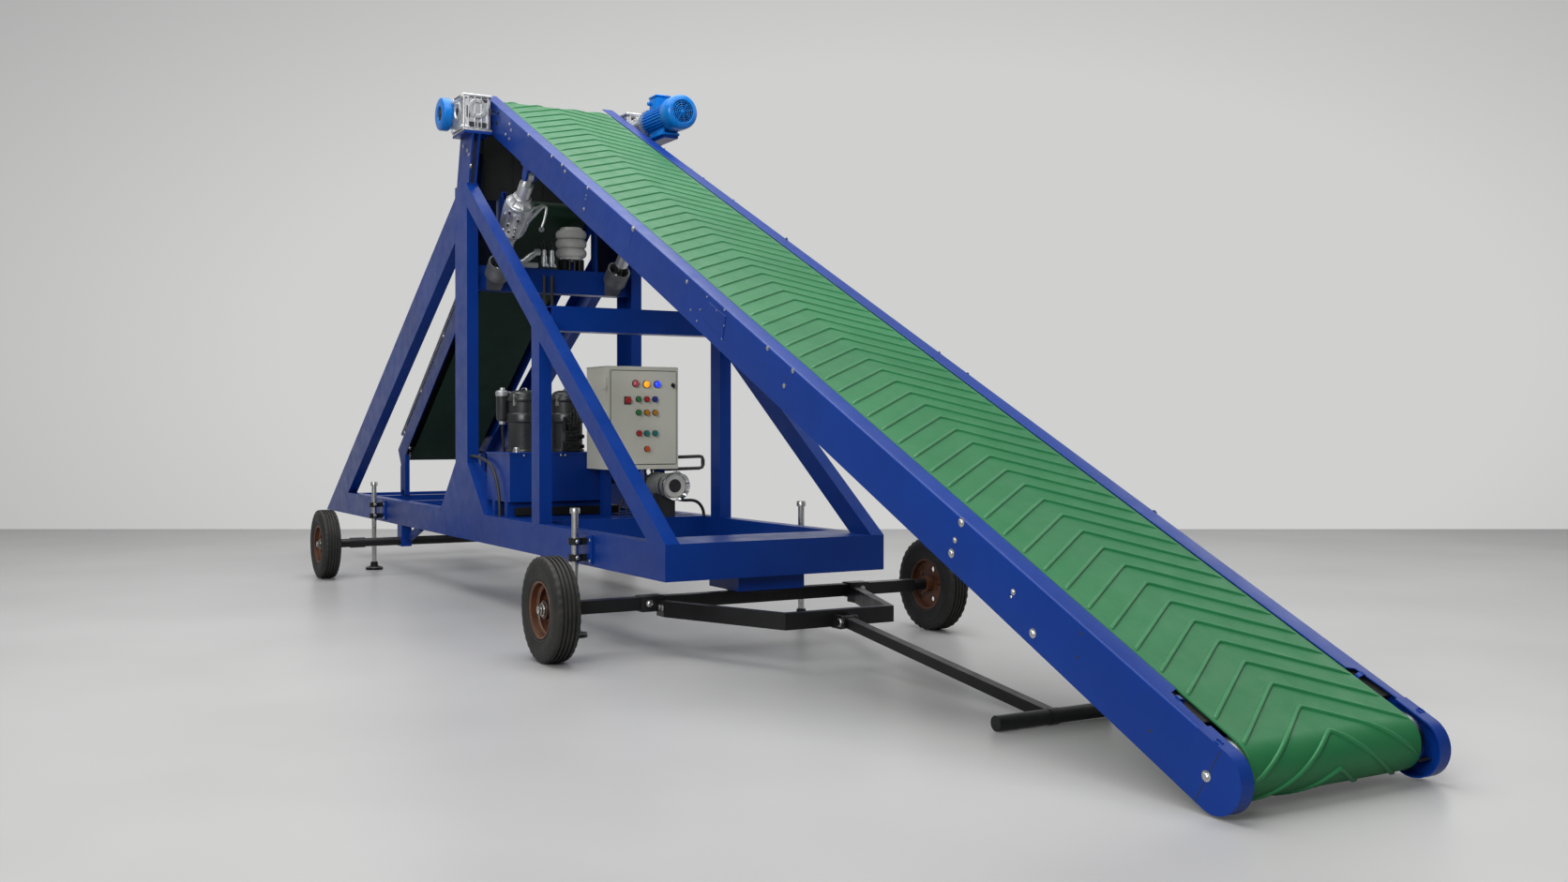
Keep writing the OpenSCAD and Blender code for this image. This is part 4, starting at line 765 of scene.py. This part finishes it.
new_piece("lift_castings", both_sides([cast_body()] + cast_trim() + cast_pockets(False) + cast_lever()),
          cast_silver, 34, "lift_barrels")
new_piece("casting_pockets", both_sides(cast_pockets(True)), seam_and_painted_shade, 34, "lift_barrels")


# Hydraulics: vessel, hoses, power pack

def fixed_cable(name, points, radius, count=30, sides=10):
    """Cable or hose between two places on the chassis: a smooth curve through given points."""
    route = smooth_path(points, count)
    cable = new_piece(name, [swept(route, radius, sides)], hose_rubber, 50)
    return cable


BELLOWS = np.array([POST_X, 0.17, 2.514719])
t = np.linspace(0, math.pi, 9)
rolls = [(0.0, 0.0), (0.0, 0.085)]
for k in range(3):
    rolls += list(zip(0.018 + 0.07 * (k + (1 - np.cos(t)) / 2), 0.092 + 0.026 * np.sin(t)))
rolls += [(0.236, 0.085), (0.246, 0.08), (0.25, 0.0)]
new_piece("pressure_bellows", [turned(rolls, BELLOWS, Z, 64)], pale_rubber, replaces="accumulator")
stand = [block((POST_X - 0.055, y, BEAM_TOP), (POST_X + 0.055, y + 0.04, BELLOWS[2] + 0.004))
         for y in (0.085, 0.215)]
stand += [turned([(0.0, 0.01), (BELLOWS[2] - BEAM_TOP, 0.01)], (POST_X + 0.07, y, BEAM_TOP), Z, 12)
          for y in (0.13, 0.17, 0.21)]
new_piece("bellows_stand", stand, black_paint)

HOSE_R, HOSE_X, HOSE_TOP, HOSE_END_X = 0.013, BEAM_FRONT + 0.039, 2.375, -0.645
SLEEVE = mm(46, 12.8, 48, 15, 60, 15, 61, 19, 78, 22, 120, 21, 140, 16, 150, 18, 168, 17, 175, 8)
BLEED = mm(0, 11, 18, 13, 24, 9, 34, 9)
HOSE_NUT = mm(0, 17, 20, 17, 22, 22, 45, 22, 47, 15, 60, 14)
fittings = []
for number, (y, end_y) in enumerate([(-0.09, 0.12), (-0.03, 0.18)], 1):
    top = np.array([HOSE_X, y, HOSE_TOP])
    route = [top, top - 0.16 * Z, (HOSE_X + 0.01, y, 2.02), (HOSE_X + 0.09, y + 0.02, 1.78),
             (HOSE_X + 0.27, y + 0.07, 1.6), (-0.8, end_y - 0.03, 1.45), (HOSE_END_X - 0.02, end_y, 1.3),
             (HOSE_END_X, end_y, 1.17), (HOSE_END_X, end_y, 1.075)]
    hose = fixed_cable(f"pressure_hose_{number}", route, HOSE_R, 40, 14)
    if number == 1:
        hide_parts("hydraulic_hoses")
    bend = [top + 0.185 * Z, top + 0.215 * Z, top + (-0.015, 0, 0.245), top + (-0.05, 0, 0.255),
            (POST_X + 0.01, y, HOSE_TOP + 0.225), (POST_X, y, HOSE_TOP + 0.15), (POST_X, y, BEAM_TOP)]
    new_piece(f"upper_pipe_{number}", [swept(smooth_path(bend, 24), 0.008, 10, Y)], black_paint, 50)
    fittings += [turned(SLEEVE, top + 0.02 * Z, Z, 18),
                 turned(BLEED, top + (0.014, 0.004, 0.085), (0.6, 0.5, -0.6), 10),
                 turned(HOSE_NUT, (HOSE_END_X, end_y, 1.055), Z, 12)]
BEAM_EDGE = np.array([BEAM_FRONT, 0.0, BEAM_TOP])
elbow = smooth_path(BEAM_EDGE + [(0, -0.28, 0.03), (0.01, -0.245, 0.045), (0.02, -0.19, 0.085),
                                 (0.03, -0.142, 0.118)], 20)
fittings += [block(BEAM_EDGE + (-0.05, -0.3, 0), BEAM_EDGE + (0.028, -0.13, 0.04), 0.006),
             tapered(elbow, [0, 0.3, 0.6, 1], [0.028, 0.02, 0.026, 0.016], 14),
             turned(mm(-20, 18, -20, 26, 20, 26, 20, 18), elbow[-1], Y, 6)]
new_piece("hose_fittings", fittings, cast_silver, 32)

CANS = np.array([(-0.84, -0.42, TANK_TOP), (-0.775, -0.125, TANK_TOP)])
CAN_ROWS = mm(0, 0, 0, 124, 12, 125, 18, 122, 20, 114, 200, 113, 208, 118, 214, 124, 262, 125, 270, 121,
              276, 114, 352, 114, 358, 120, 366, 124.5, 376, 125, 384, 121.5, 388, 112, 402, 109, 420, 98,
              432, 80, 438, 55, 440, 0)
CLIP_HALF = np.array([0.012, 0.012, 0.042])
can_trim = []
for can in CANS:
    can_trim += bolts(circle(can + 0.013 * Z, 0.118, 6, X, Y, 0.4), Z, 0.007, False)
    for a in (0.9, 3.9, 5.3):
        middle = can + (0.112 * math.cos(a), 0.112 * math.sin(a), 0.365)
        can_trim.append(block(middle - CLIP_HALF, middle + CLIP_HALF, 0.005))
    grip = can + [(-0.05, 0, 0.428), (-0.045, 0, 0.446), (0, 0, 0.452), (0.045, 0, 0.446), (0.05, 0, 0.428)]
    can_trim.append(swept(smooth_path(grip, 20), 0.006, 10))
new_piece("pump_cans", [turned(CAN_ROWS, can, Z, 72) for can in CANS], dark_enamel, replaces="pump_motors")
new_piece("pump_can_clips", can_trim, zinc_plate, 32)

VALVE_LOW, VALVE_HIGH = np.array([-0.77, 0.06, 0.83]), np.array([-0.52, 0.24, 1.06])
VALVE_PLUG = mm(-10, 22, 28, 22, 30, 18, 50, 18, 52, 10, 58, 9, 60, 0)
valves = [block(VALVE_LOW + 0.003, VALVE_HIGH - 0.003, 0.006)]
for x, y, tall in ((-0.735, 0.085, 200), (-0.69, 0.215, 260), (-0.6, 0.088, 160), (-0.555, 0.214, 230)):
    rows = mm(-10, 20, 30, 20, 32, 17, 50, 17, 52, 21, tall - 30, 21, tall - 27, 12, tall - 12, 12,
              tall - 10, 16, tall, 14, tall + 3, 0)
    valves.append(turned(rows, (x, y, VALVE_HIGH[2]), Z, 20))
valves += [turned(VALVE_PLUG, (VALVE_HIGH[0] - 0.003, y, z), X, 18)
           for z in (0.875, 0.94, 1.005) for y in (0.105, 0.19)]
new_piece("valve_bank", valves, black_paint, 32, replaces="valve_block")

STACK = np.array([-0.575, -0.175, TANK_TOP])
STACK_PLUG = mm(30, 16, 60, 16, 62, 12, 78, 12, 80, 7, 86, 6, 87, 0)
STACK_COIL = mm(30, 18, 75, 18, 78, 14, 90, 14, 91, 0)
stack = [block(STACK + low, STACK + high, 0.006)
         for low, high in (((-0.045, -0.055, 0), (0.045, 0.055, 0.075)),
                           ((-0.035, -0.04, 0.075), (0.035, 0.045, 0.15)),
                           ((-0.026, -0.02, 0.15), (0.03, 0.04, 0.205)))]
for dx, dy, tall in ((-0.022, -0.032, 250), (0.012, 0.026, 300), (-0.015, 0.012, 275)):
    rows = mm(140, 17, tall - 50, 17, tall - 47, 13, tall - 30, 13, tall - 28, 16, tall - 6, 15, tall, 10,
              tall + 1, 0)
    stack.append(turned(rows, STACK + (dx, dy, 0), Z, 18))
stack += [turned(STACK_PLUG, STACK + (-0.018, dy, z), X, 16)
          for dy, z in ((-0.03, 0.04), (0.028, 0.045), (-0.012, 0.112), (0.03, 0.118), (0.012, 0.18))]
stack += [turned(STACK_COIL, STACK + (0, 0.01, z), Y, 16) for z in (0.04, 0.11)]
new_piece("valve_stack", stack, black_paint, 32)
# Painted shade: a black tray under the tank stands for the shade between the tank and the base.
new_piece("painted_shade_tray", [block((-0.96, -0.59, 0.622), (-0.545, 0.19, 0.68), 0.006)], black_paint, 32)

FILTER = np.array([-0.905, -0.56, TANK_TOP])
stem = smooth_path(FILTER + [(0, 0, 0.2), (0.004, 0, 0.13), (0.012, 0.006, 0.06), (0.014, 0.008, 0)], 16)
spout = smooth_path(FILTER + [(0, 0.035, 0.418), (0, 0.065, 0.418), (0.02, 0.085, 0.4)], 12)
filter_head = [turned(mm(195, 12, 196, 22, 222, 24, 226, 16), FILTER, Z, 18),
               turned(mm(395, 20, 396, 44, 405, 47, 428, 47, 434, 40, 440, 18, 455, 16, 458, 0), FILTER, Z, 32),
               swept(spout, 0.01, 10)]
filter_bowl = turned(mm(218, 0, 218, 28, 226, 38, 240, 42, 398, 43), FILTER, Z, 32)
new_piece("filter_pipe", [swept(stem, 0.009, 10)], black_paint, 50)
new_piece("filter_head", filter_head, cast_silver, 32)
new_piece("filter_bowl", [filter_bowl], dark_enamel, 40)
tank_cap = turned(mm(0, 30, 10, 30, 12, 24, 30, 24, 34, 20, 36, 0), (-0.6, -0.56, TANK_TOP), Z, 24)
tank_bolts = bolts([(TANK_FRONT, y, 1.04) for y in (-0.54, -0.27, -0.24)], X, 0.0075, False)
new_piece("tank_fittings", tank_bolts + [tank_cap], zinc_plate, 32)


# Rubber strip curtain over the drop between the two conveyors, with dark side panels: the near-black curtain
# and panels are painted shade that darkens the space under the boom head

CURTAIN_X, CURTAIN_TOP, CURTAIN_LOW = -1.545, 3.47, 2.946
STRIP_EDGE = mm(2.5, -66, 2.5, 66, -2.5, 66, -2.5, -66)


def strip(y, x):
    """Hanging rubber strip with a slight bow: x - depth sin(pi t) along its length, carried from top to
    bottom."""
    t = np.linspace(0, 1, 12)
    z = CURTAIN_TOP + (CURTAIN_LOW - CURTAIN_TOP) * t
    bow = x - 0.004 * np.sin(math.pi * t)
    return carried([np.column_stack([STRIP_EDGE + (b, y), np.full(4, h)]) for b, h in zip(bow, z)])


strips = [strip(y, CURTAIN_X + (0.004 if k % 2 else -0.004))
          for k, y in enumerate(np.linspace(-0.535, 0.535, 10))]
new_piece("drop_curtain", strips, hose_rubber)
hanger_post = block((CURTAIN_X - 0.014, -0.609, 2.88), (CURTAIN_X + 0.014, -0.589, CURTAIN_TOP + 0.01))
hanger_rail = block((CURTAIN_X - 0.012, -0.608, CURTAIN_TOP - 0.035),
                    (CURTAIN_X + 0.012, 0.608, CURTAIN_TOP + 0.01))
new_piece("curtain_hanger", [hanger_rail] + both_sides([hanger_post]), black_paint)
curl = np.linspace(0, 1.2, 10)
lip = np.stack([CURTAIN_X + 0.16 * np.sin(curl), 0.1 * (1 - np.cos(curl)) - 0.604, 0 * curl], -1)
lip_ring = np.concatenate([lip, (lip + 0.006 * Y)[::-1]])
# Painted shade: near-black navy side panels.
side_panel = block((CURTAIN_X - 0.004, -0.609, BEAM_TOP), (CURTAIN_X + 0.004, -0.384, CURTAIN_LOW + 0.004),
                   0.002)
new_piece("drop_side_panels", both_sides([side_panel, carried([lip_ring + z * Z for z in (2.62, 2.9, 3.26)])]),
          shadow_navy)


# Control cabinet

FACE_X = POST_X + 1.295
PANEL_X = FACE_X + 0.0042
CAB_Y0, CAB_Y1, CAB_Z0, CAB_Z1 = -0.081, 0.447, 0.945, 1.651
PANEL_Y0, PANEL_Y1, PANEL_Z0, PANEL_Z1 = -0.061, 0.43, 0.98, 1.622
LAMPS = {"rose": (0.12, 1.535), "amber": (0.2, 1.531), "blue": (0.282, 1.532)}
BUTTONS = {"green": [(0.141, 1.428), (0.142, 1.336)], "red": [(0.203, 1.428), (0.146, 1.193)],
           "blue": [(0.265, 1.428)], "amber": [(0.203, 1.336), (0.267, 1.336)],
           "teal": [(0.203, 1.193), (0.267, 1.193)], "orange": [(0.205, 1.085)]}
LAMP_COLLAR = mm(0, 0, 0, 26.5, 6, 26.5, 8, 24.5, 12, 24)
BUTTON_COLLAR = mm(0, 0, 0, 21.5, 5, 21.5, 7, 19.5, 7, 0)
BUTTON_CAP = mm(4, 0, 4, 17.5, 18, 17, 21, 15, 22, 0)
STOP_BUTTON = mm(3, 0, 3, 13, 14, 13, 15, 21, 20, 23, 26, 20, 29, 10, 30, 0)
LOCK = mm(0, 0, 0, 15, 6, 15, 8, 11, 16, 11, 17, 0)


def on_door(name, surfaces, material, smooth=35):
    new_piece(name, surfaces, material, smooth, "cabinet_door")


def door_plate(outline, x, depth, bevel):
    """Plate with an outline in (y, z), raised from x toward the front."""
    return plate(outline, (x, 0, 0), Y, Z, depth, bevel)


def door_outline(grow):
    """Rounded outline of the pressed door panel, in (y, z), grown outward by an even margin."""
    return rounded(PANEL_Y1 - PANEL_Y0 + 2 * grow, PANEL_Z1 - PANEL_Z0 + 2 * grow, 0.008 + grow, 3,
                   ((PANEL_Y0 + PANEL_Y1) / 2, (PANEL_Z0 + PANEL_Z1) / 2))


def lamp_lens(y, z, r=0.0235):
    """Domed lens: a half-ellipse turned round the lamp's axis."""
    t = np.linspace(0, math.pi / 2, 8)
    return turned(np.stack([0.01 + 0.02 * np.sin(t), r * np.cos(t) + 1e-5], -1), (PANEL_X, y, z), X, 28)


on_door("door_gap_line", [door_plate(door_outline(0.005), FACE_X, 0.0007, 0.0002)], seam_and_painted_shade, 30)
on_door("door_panel", [door_plate(door_outline(0.0), FACE_X, 0.0042, 0.0016)], cabinet_beige, 30)
collars = [turned(LAMP_COLLAR, (PANEL_X, y, z), X, 28) for y, z in LAMPS.values()]
for label, (y, z) in LAMPS.items():
    on_door(f"lamp_{label}", [lamp_lens(y, z)], lenses[label], 50)
for label, places in BUTTONS.items():
    caps = [turned(BUTTON_CAP, (PANEL_X, y, z), X, 24) for y, z in places]
    bars = [door_plate(rounded(0.013, 0.04, 0.005, 3, at), PANEL_X + 0.021, 0.011, 0.002) for at in places]
    collars += [turned(BUTTON_COLLAR, (PANEL_X, y, z), X, 24) for y, z in places]
    on_door(f"buttons_{label}", caps + bars, button_paints[label], 40)
on_door("button_collars", collars, black_paint)
on_door("stop_plate", [door_plate(rounded(0.052, 0.056, 0.004, 2, (0.06, 1.418)), PANEL_X, 0.003, 0.001)],
        rust_brown)
on_door("stop_button", [turned(STOP_BUTTON, (PANEL_X, 0.06, 1.42), X, 32)], button_paints["red"], 40)
lock_bar = door_plate(rounded(0.01, 0.036, 0.004, 2, (0.404, 1.521)), PANEL_X + 0.014, 0.007, 0.002)
on_door("door_lock", [turned(LOCK, (PANEL_X, 0.404, 1.527), X, 24), lock_bar], black_paint)
edge_x0, edge_x1, edge_y0, edge_y1 = FACE_X - 0.38, FACE_X - 0.032, CAB_Y0 - 0.004, CAB_Y1 + 0.004
top_edge = [(edge_x0, edge_y0), (edge_x1, edge_y0), (edge_x1, edge_y1), (edge_x0, edge_y1)]
new_piece("cabinet_top_edge", [plate(top_edge, (0, 0, CAB_Z1 - 0.001), X, Y, 0.005, 0.0015)], cabinet_beige, 30)

BRACKET_X = -0.3
BRACKET_PATH = mm(445, 1020, 700, 1026, 722, 1022, 730, 1004, 730, 963, 722, 947, 700, 941, 397, 936)
bracket = swept([(BRACKET_X, y, z) for y, z in BRACKET_PATH], 0.0125, 12, X)
bracket_sleeve = turned(mm(-20, 14, 20, 14), (BRACKET_X, 0.73, 0.983), Z, 14)
new_piece("side_bracket", [bracket, bracket_sleeve], dark_enamel, 45)

COOLER = np.array([0.0699, 0.327, 0.834])
ring = mm(-30, 70, -30, 82.5, -8, 83.5, 8, 89, 20, 99, 27, 101, 29, 97, 20, 88, 6, 76, -6, 70)
throat = mm(1, 40, 1.2, 60, 6, 74, 4, 78, -4, 70, -4, 40)
waves = np.stack([np.linspace(-0.325, -0.035, 88), 0.0818 + 0.0016 * np.sin(np.arange(88) * math.pi / 2)], -1)
bands = [turned(mm(x, 79.5, x, 86.5, x + 18, 86.5, x + 18, 79.5), COOLER, X, 48) for x in (-300, -90)]
lug = turned(mm(0, 20, 16, 20, 18, 14, 30, 13), COOLER + (-0.05, 0.03, 0.07), Z, 16)
new_piece("cooler_ring", [turned(ring, COOLER, X, 56, loop=True)], chrome_rim, 40)
new_piece("cooler_throat", [turned(throat, COOLER, X, 48, loop=True)], pale_rubber, 40)
# Painted shade: a dark disc inside the cooler's throat.
new_piece("cooler_well", [turned(mm(0.5, 0, 0.5, 46, 2, 46, 2, 0), COOLER, X, 40)], seam_and_painted_shade, 40)
new_piece("cooler_sleeve", [turned(waves, COOLER, X, 56)], cooler_grey, 50)
new_piece("cooler_bands", bands + [lug], zinc_plate)

GLAND = mm(0, 14, 10, 14, 12, 10, 22, 9)
glands = []
for number, y in enumerate((0.15, 0.203, 0.252, 0.302), 1):
    glands.append(turned(GLAND, (-0.25, y, CAB_Z0 + 0.001), -Z, 12))
    route = [(-0.25, y, CAB_Z0 - 0.018), (-0.25, y, CAB_Z0 - 0.07), (-0.255, y - 0.01, 0.82),
             (-0.275, y - 0.05, 0.74), (-0.285, y - 0.075, 0.675), (-0.285, y - 0.08, 0.618)]
    fixed_cable(f"cabinet_cable_{number}", route, 0.008)
new_piece("cable_glands", glands, black_paint)
fixed_cable("cooler_cable", [(0.02, 0.327, 0.756), (0.034, 0.372, 0.738), (0.04, 0.42, 0.732),
                             (0.034, 0.47, 0.731), (0.018, 0.518, 0.72), (-0.004, 0.56, 0.694),
                             (-0.019, 0.588, 0.656), (-0.024, 0.598, 0.613)], 0.011)
TANK_HOSE = mm(-1281, 1025, -1180, 1024, -1030, 1012, -880, 982, -765, 915, -690, 815, -655, 710, -648, 614)
fixed_cable("tank_hose", [(x, -0.667, z) for x, z in TANK_HOSE], 0.011, 36)


# Wheels

GROOVES, GROOVE_HALF = (-0.033, -0.011, 0.011, 0.033), 0.0058
TYRE_SIDE = mm(63.2, 270, 66.5, 259, 69, 249, 72.5, 233, 72.2, 224, 73.3, 223, 73.3, 220.5, 71.8, 219.5,
               70.5, 205, 68, 188, 65, 173, 66.2, 171.5, 66.2, 169, 64, 167.5, 61, 160, 56.5, 153, 50, 149)
RIM_LIP = mm(56.5, 140, 60, 143, 62.5, 147.5, 62, 151.5, 59, 153, 56, 151, 54.5, 146)
RIM_STEP = mm(18, 118, 22, 122.5, 26, 123.5, 30, 130, 26, 134, 16, 134)
HUB = mm(0, 51.5, 6, 55.5, 12, 55.5, 16, 50.5, 34, 48.5, 39, 45.5, 41.2, 41, 41.2, 26)
AXLE_NUT = mm(43.5, 18, 43.5, 36, 46.5, 36, 47, 29.5, 60, 29.5, 62.5, 27.5, 63, 21.5, 70, 21, 70.5, 16.5,
              71.5, 15, 72.5, 0)
NUT_PIN = mm(66.8, 3, 72.5, 3)


def tyre_ring(centre, outward, sides=144):
    """Ribbed tyre: a closed profile with four grooves turned round the axle; the shoulder rows carry a
    square-wave notch round the wheel and the side walls have two thin raised rings."""
    tread = [(-0.0575, 0.2765)]
    for g in GROOVES:
        low, high = g - GROOVE_HALF, g + GROOVE_HALF
        tread += [(low - 0.001, 0.2797), (low, 0.2785), (low + 0.001, 0.269),
                  (high - 0.001, 0.269), (high, 0.2785), (high + 0.001, 0.2797)]
    tread.append((0.0575, 0.2765))
    profile = np.concatenate([TYRE_SIDE[::-1] * (-1, 1), tread, TYRE_SIDE, [(0.0, 0.15)]])
    wave = (np.arange(sides) // 2) % 2
    swell = np.zeros((len(profile), sides))
    out, radius = np.abs(profile[:, 0]), profile[:, 1]
    swell[(out > 0.0573) & (radius > 0.258)] = -0.0045 * wave
    swell[np.isclose(out, GROOVES[-1] + GROOVE_HALF + 0.001) & (radius > 0.278)] = -0.0025 * np.roll(wave, 1)
    return turned(profile, centre, outward, sides, swell, loop=True)


for place, x, half, carrier in (("front", FRONT_AXLE_X, FRONT_HALF_TRACK, "front_axle"),
                                ("rear", REAR_AXLE_X, REAR_HALF_TRACK, "chassis")):
    for side, sign in SIDES.items():
        centre, out, end = np.array([x, sign * half, AXLE_Z]), sign * Y, f"{place}_{side}"
        rim = [turned(RIM_LIP, centre, out, 96, loop=True), turned(RIM_STEP, centre, out, 72, loop=True)]
        nut = [turned(AXLE_NUT, centre, out, 12), turned(NUT_PIN, centre + 0.019 * Z, out, 8)]
        new_piece(f"tread_{end}", [tyre_ring(centre, out)], tyre_rubber, 28, f"wheel_{end}", f"tyre_{end}")
        new_piece(f"rim_lip_{end}", rim, rim_brown, 40, f"wheel_{end}")
        new_piece(f"hub_{end}", [turned(HUB, centre, out, 48)], black_paint, 35, f"wheel_{end}")
        new_piece(f"axle_nut_{end}", nut, zinc_plate, 32, carrier)


# Jacks and drawbar

JACK_FOOT = mm(0, 0, 0, 71.5, 4, 72.5, 20, 72.5, 25, 69, 29, 46, 34, 34, 58, 30, 68, 28.5, 70, 20.5)
JACK_CAP = mm(726, 20.5, 728, 29.5, 752, 29.5, 758, 27.5, 760.5, 22, 761, 0)
JACK_FACE = 0.7085
for place, x in JACK_X.items():
    for side, sign in SIDES.items():
        foot, jack = (x, sign * JACK_Y, 0.0), f"jack_{place}_{side}"
        new_piece(f"jack_foot_{place}_{side}", [turned(JACK_FOOT, foot, Z, 48)], black_paint, 35, jack)
        new_piece(f"jack_cap_{place}_{side}", [turned(JACK_CAP, foot, Z, 32)], zinc_plate, 35, jack)

jack_bolts, jack_backs = [], []
for x in JACK_X.values():
    jack_bolts += bolts([(x + 0.039, -JACK_Y, z) for z in (0.47, 0.565)], X, 0.009)
    jack_bolts += bolts([(x + dx, -JACK_FACE, z) for dx in (-0.06, 0.06) for z in (0.45, 0.57)], -Y, 0.008)
    jack_backs.append(block((x - 0.0815, -JACK_FACE - 0.0003, 0.4305), (x + 0.0815, -0.694, 0.5995), 0.003))
new_piece("jack_bolts", both_sides(jack_bolts), zinc_plate, 30)
new_piece("jack_back_plates", both_sides(jack_backs), blue_paint, 30)

drawbar_bracket = block((1.761, -0.735, 0.236), (1.85, -0.6, 0.322))
drawbar_bolts = (bolt((1.85, -0.688, 0.282), X, 0.013) + bolt(TOW_PIN, -Y, 0.023)
                 + bolts([(x, -0.64, 0.262) for x in (1.872, 1.908)], -Y, 0.011))
new_piece("drawbar_brackets", both_sides([drawbar_bracket]), black_paint, 30, "front_axle")
new_piece("drawbar_bolts", both_sides(drawbar_bolts), zinc_plate, 30, "front_axle")


# Stage: pale concrete floor, a pale wall with a painted light falloff, soft light, and the camera

CAMERA_AT = np.array([8.87, -3.942, 1.233])
LOOK, PITCH = math.radians(30.2516), math.radians(-0.5419)
FOCAL_PX, PHOTO_PX, SENSOR = 1521.98, 1672, 36
AHEAD, RIGHT = np.array([-math.cos(LOOK), math.sin(LOOK), 0]), np.array([math.sin(LOOK), math.cos(LOOK), 0])
FLOOR_REACH, WALL_AWAY, WALL_HALF, WALL_HIGH = 60.0, 17.3, 40, 14.0
WALL_SQUEEZE = (0.45, 0.45, 1.0)


def stage_plane(name, corners, material):
    """Flat quad of the stage."""
    mesh = bpy.data.meshes.new(name)
    mesh.from_pydata([list(map(float, c)) for c in corners], [], [(0, 1, 2, 3)])
    mesh.materials.append(material)
    plane = bpy.data.objects.new(name, mesh)
    bpy.context.scene.collection.objects.link(plane)


def wall_paint(centre):
    """Pale wall with a painted light falloff: it darkens slowly away from its centre, the bright spot of the
    painted light; it is clear from behind and sheds no light.
    """
    wall, tree, shader = node_material("pale_wall")
    tree.nodes.remove(shader)
    squeeze, away = tree.nodes.new("ShaderNodeVectorMath"), tree.nodes.new("ShaderNodeVectorMath")
    squeeze.operation, away.operation = "MULTIPLY", "DISTANCE"
    squeeze.inputs[1].default_value = WALL_SQUEEZE
    away.inputs[1].default_value = tuple(centre * WALL_SQUEEZE)
    tree.links.new(tree.nodes.new("ShaderNodeTexCoord").outputs["Object"], squeeze.inputs[0])
    tree.links.new(squeeze.outputs[0], away.inputs[0])
    # Painted light falloff: bright grey at the centre, darker grey away from it.
    tone = blended(tree, spread(tree, away.outputs["Value"], 3.4, 8.2), (0.63, 0.63, 0.625), (0.33, 0.33, 0.33))
    glow = fed_node(tree, "Emission", Color=tone)
    rays = tree.nodes.new("ShaderNodeLightPath").outputs
    looked_at = rays["Is Camera Ray"]
    for kind in ("Is Glossy Ray", "Is Transmission Ray"):
        looked_at = math_node(tree, "MAXIMUM", looked_at, rays[kind])
    behind = tree.nodes.new("ShaderNodeNewGeometry").outputs["Backfacing"]
    unseen = math_node(tree, "MAXIMUM", behind, math_node(tree, "SUBTRACT", 1.0, looked_at))
    clear = tree.nodes.new("ShaderNodeBsdfTransparent")
    mix = tree.nodes.new("ShaderNodeMixShader")
    for socket, value in zip(mix.inputs, (unseen, glow.outputs[0], clear.outputs[0])):
        tree.links.new(value, socket)
    tree.links.new(mix.outputs[0], tree.nodes["Material Output"].inputs["Surface"])
    return wall


def floor_paint():
    """Smooth pale concrete with wide soft clouds."""
    floor, tree, shader = node_material("pale_concrete")
    clouds = spread(tree, noise(tree, 0.45, 3, 0.5), 0.3, 0.7)
    feed(tree, shader.inputs["Base Color"], blended(tree, clouds, (0.455, 0.452, 0.449), (0.39, 0.387, 0.384)))
    feed(tree, shader.inputs["Roughness"], 0.34)
    feed(tree, shader.inputs["Specular IOR Level"], 0.3)
    return floor


def soft_light(name, at, toward, size, power):
    """Rectangular area light at a place, turned toward another."""
    data = bpy.data.lights.new(name, "AREA")
    data.shape = "RECTANGLE"
    data.size, data.size_y = size
    data.energy = power
    lamp = bpy.data.objects.new(name, data)
    bpy.context.scene.collection.objects.link(lamp)
    lamp.location = at
    lamp.rotation_euler = (Vector(toward) - Vector(at)).to_track_quat("-Z", "Y").to_euler()


stage_plane("floor", [(FLOOR_REACH * x, FLOOR_REACH * y, 0) for x, y in ((-1, -1), (1, -1), (1, 1), (-1, 1))],
            floor_paint())
wall_foot = CAMERA_AT * (1, 1, 0) + AHEAD * WALL_AWAY
wall_corners = [wall_foot + RIGHT * WALL_HALF * u + Z * WALL_HIGH * v
                for u, v in ((-1, 0), (1, 0), (1, 1), (-1, 1))]
stage_plane("wall", wall_corners, wall_paint(wall_foot + RIGHT * 1.5 + Z * 2.2))
soft_light("top_light", (0.5, -0.5, 8.5), (0.5, 0.0, 0.0), (12, 8), 1080)
soft_light("front_light", (9.5, -9.0, 6.0), (0.5, 0.0, 1.2), (7, 5), 900)
soft_light("side_light", (2.0, 9.5, 6.0), (0.0, 0.0, 1.5), (8, 5), 150)
world = bpy.data.worlds.new("studio")
world.use_nodes = True
world.node_tree.nodes["Background"].inputs["Color"].default_value = (0.86, 0.87, 0.88, 1)
world.node_tree.nodes["Background"].inputs["Strength"].default_value = 0.27
bpy.context.scene.world = world

lens = bpy.data.cameras.new("camera")
lens.sensor_fit = "HORIZONTAL"
lens.sensor_width = SENSOR
lens.lens = FOCAL_PX / PHOTO_PX * SENSOR
camera = bpy.data.objects.new("camera", lens)
bpy.context.scene.collection.objects.link(camera)
camera.location = CAMERA_AT
camera.rotation_euler = (math.pi / 2 + PITCH, 0, math.atan2(-AHEAD[0], AHEAD[1]))
bpy.context.scene.camera = camera
bpy.context.scene.view_settings.view_transform = "Standard"
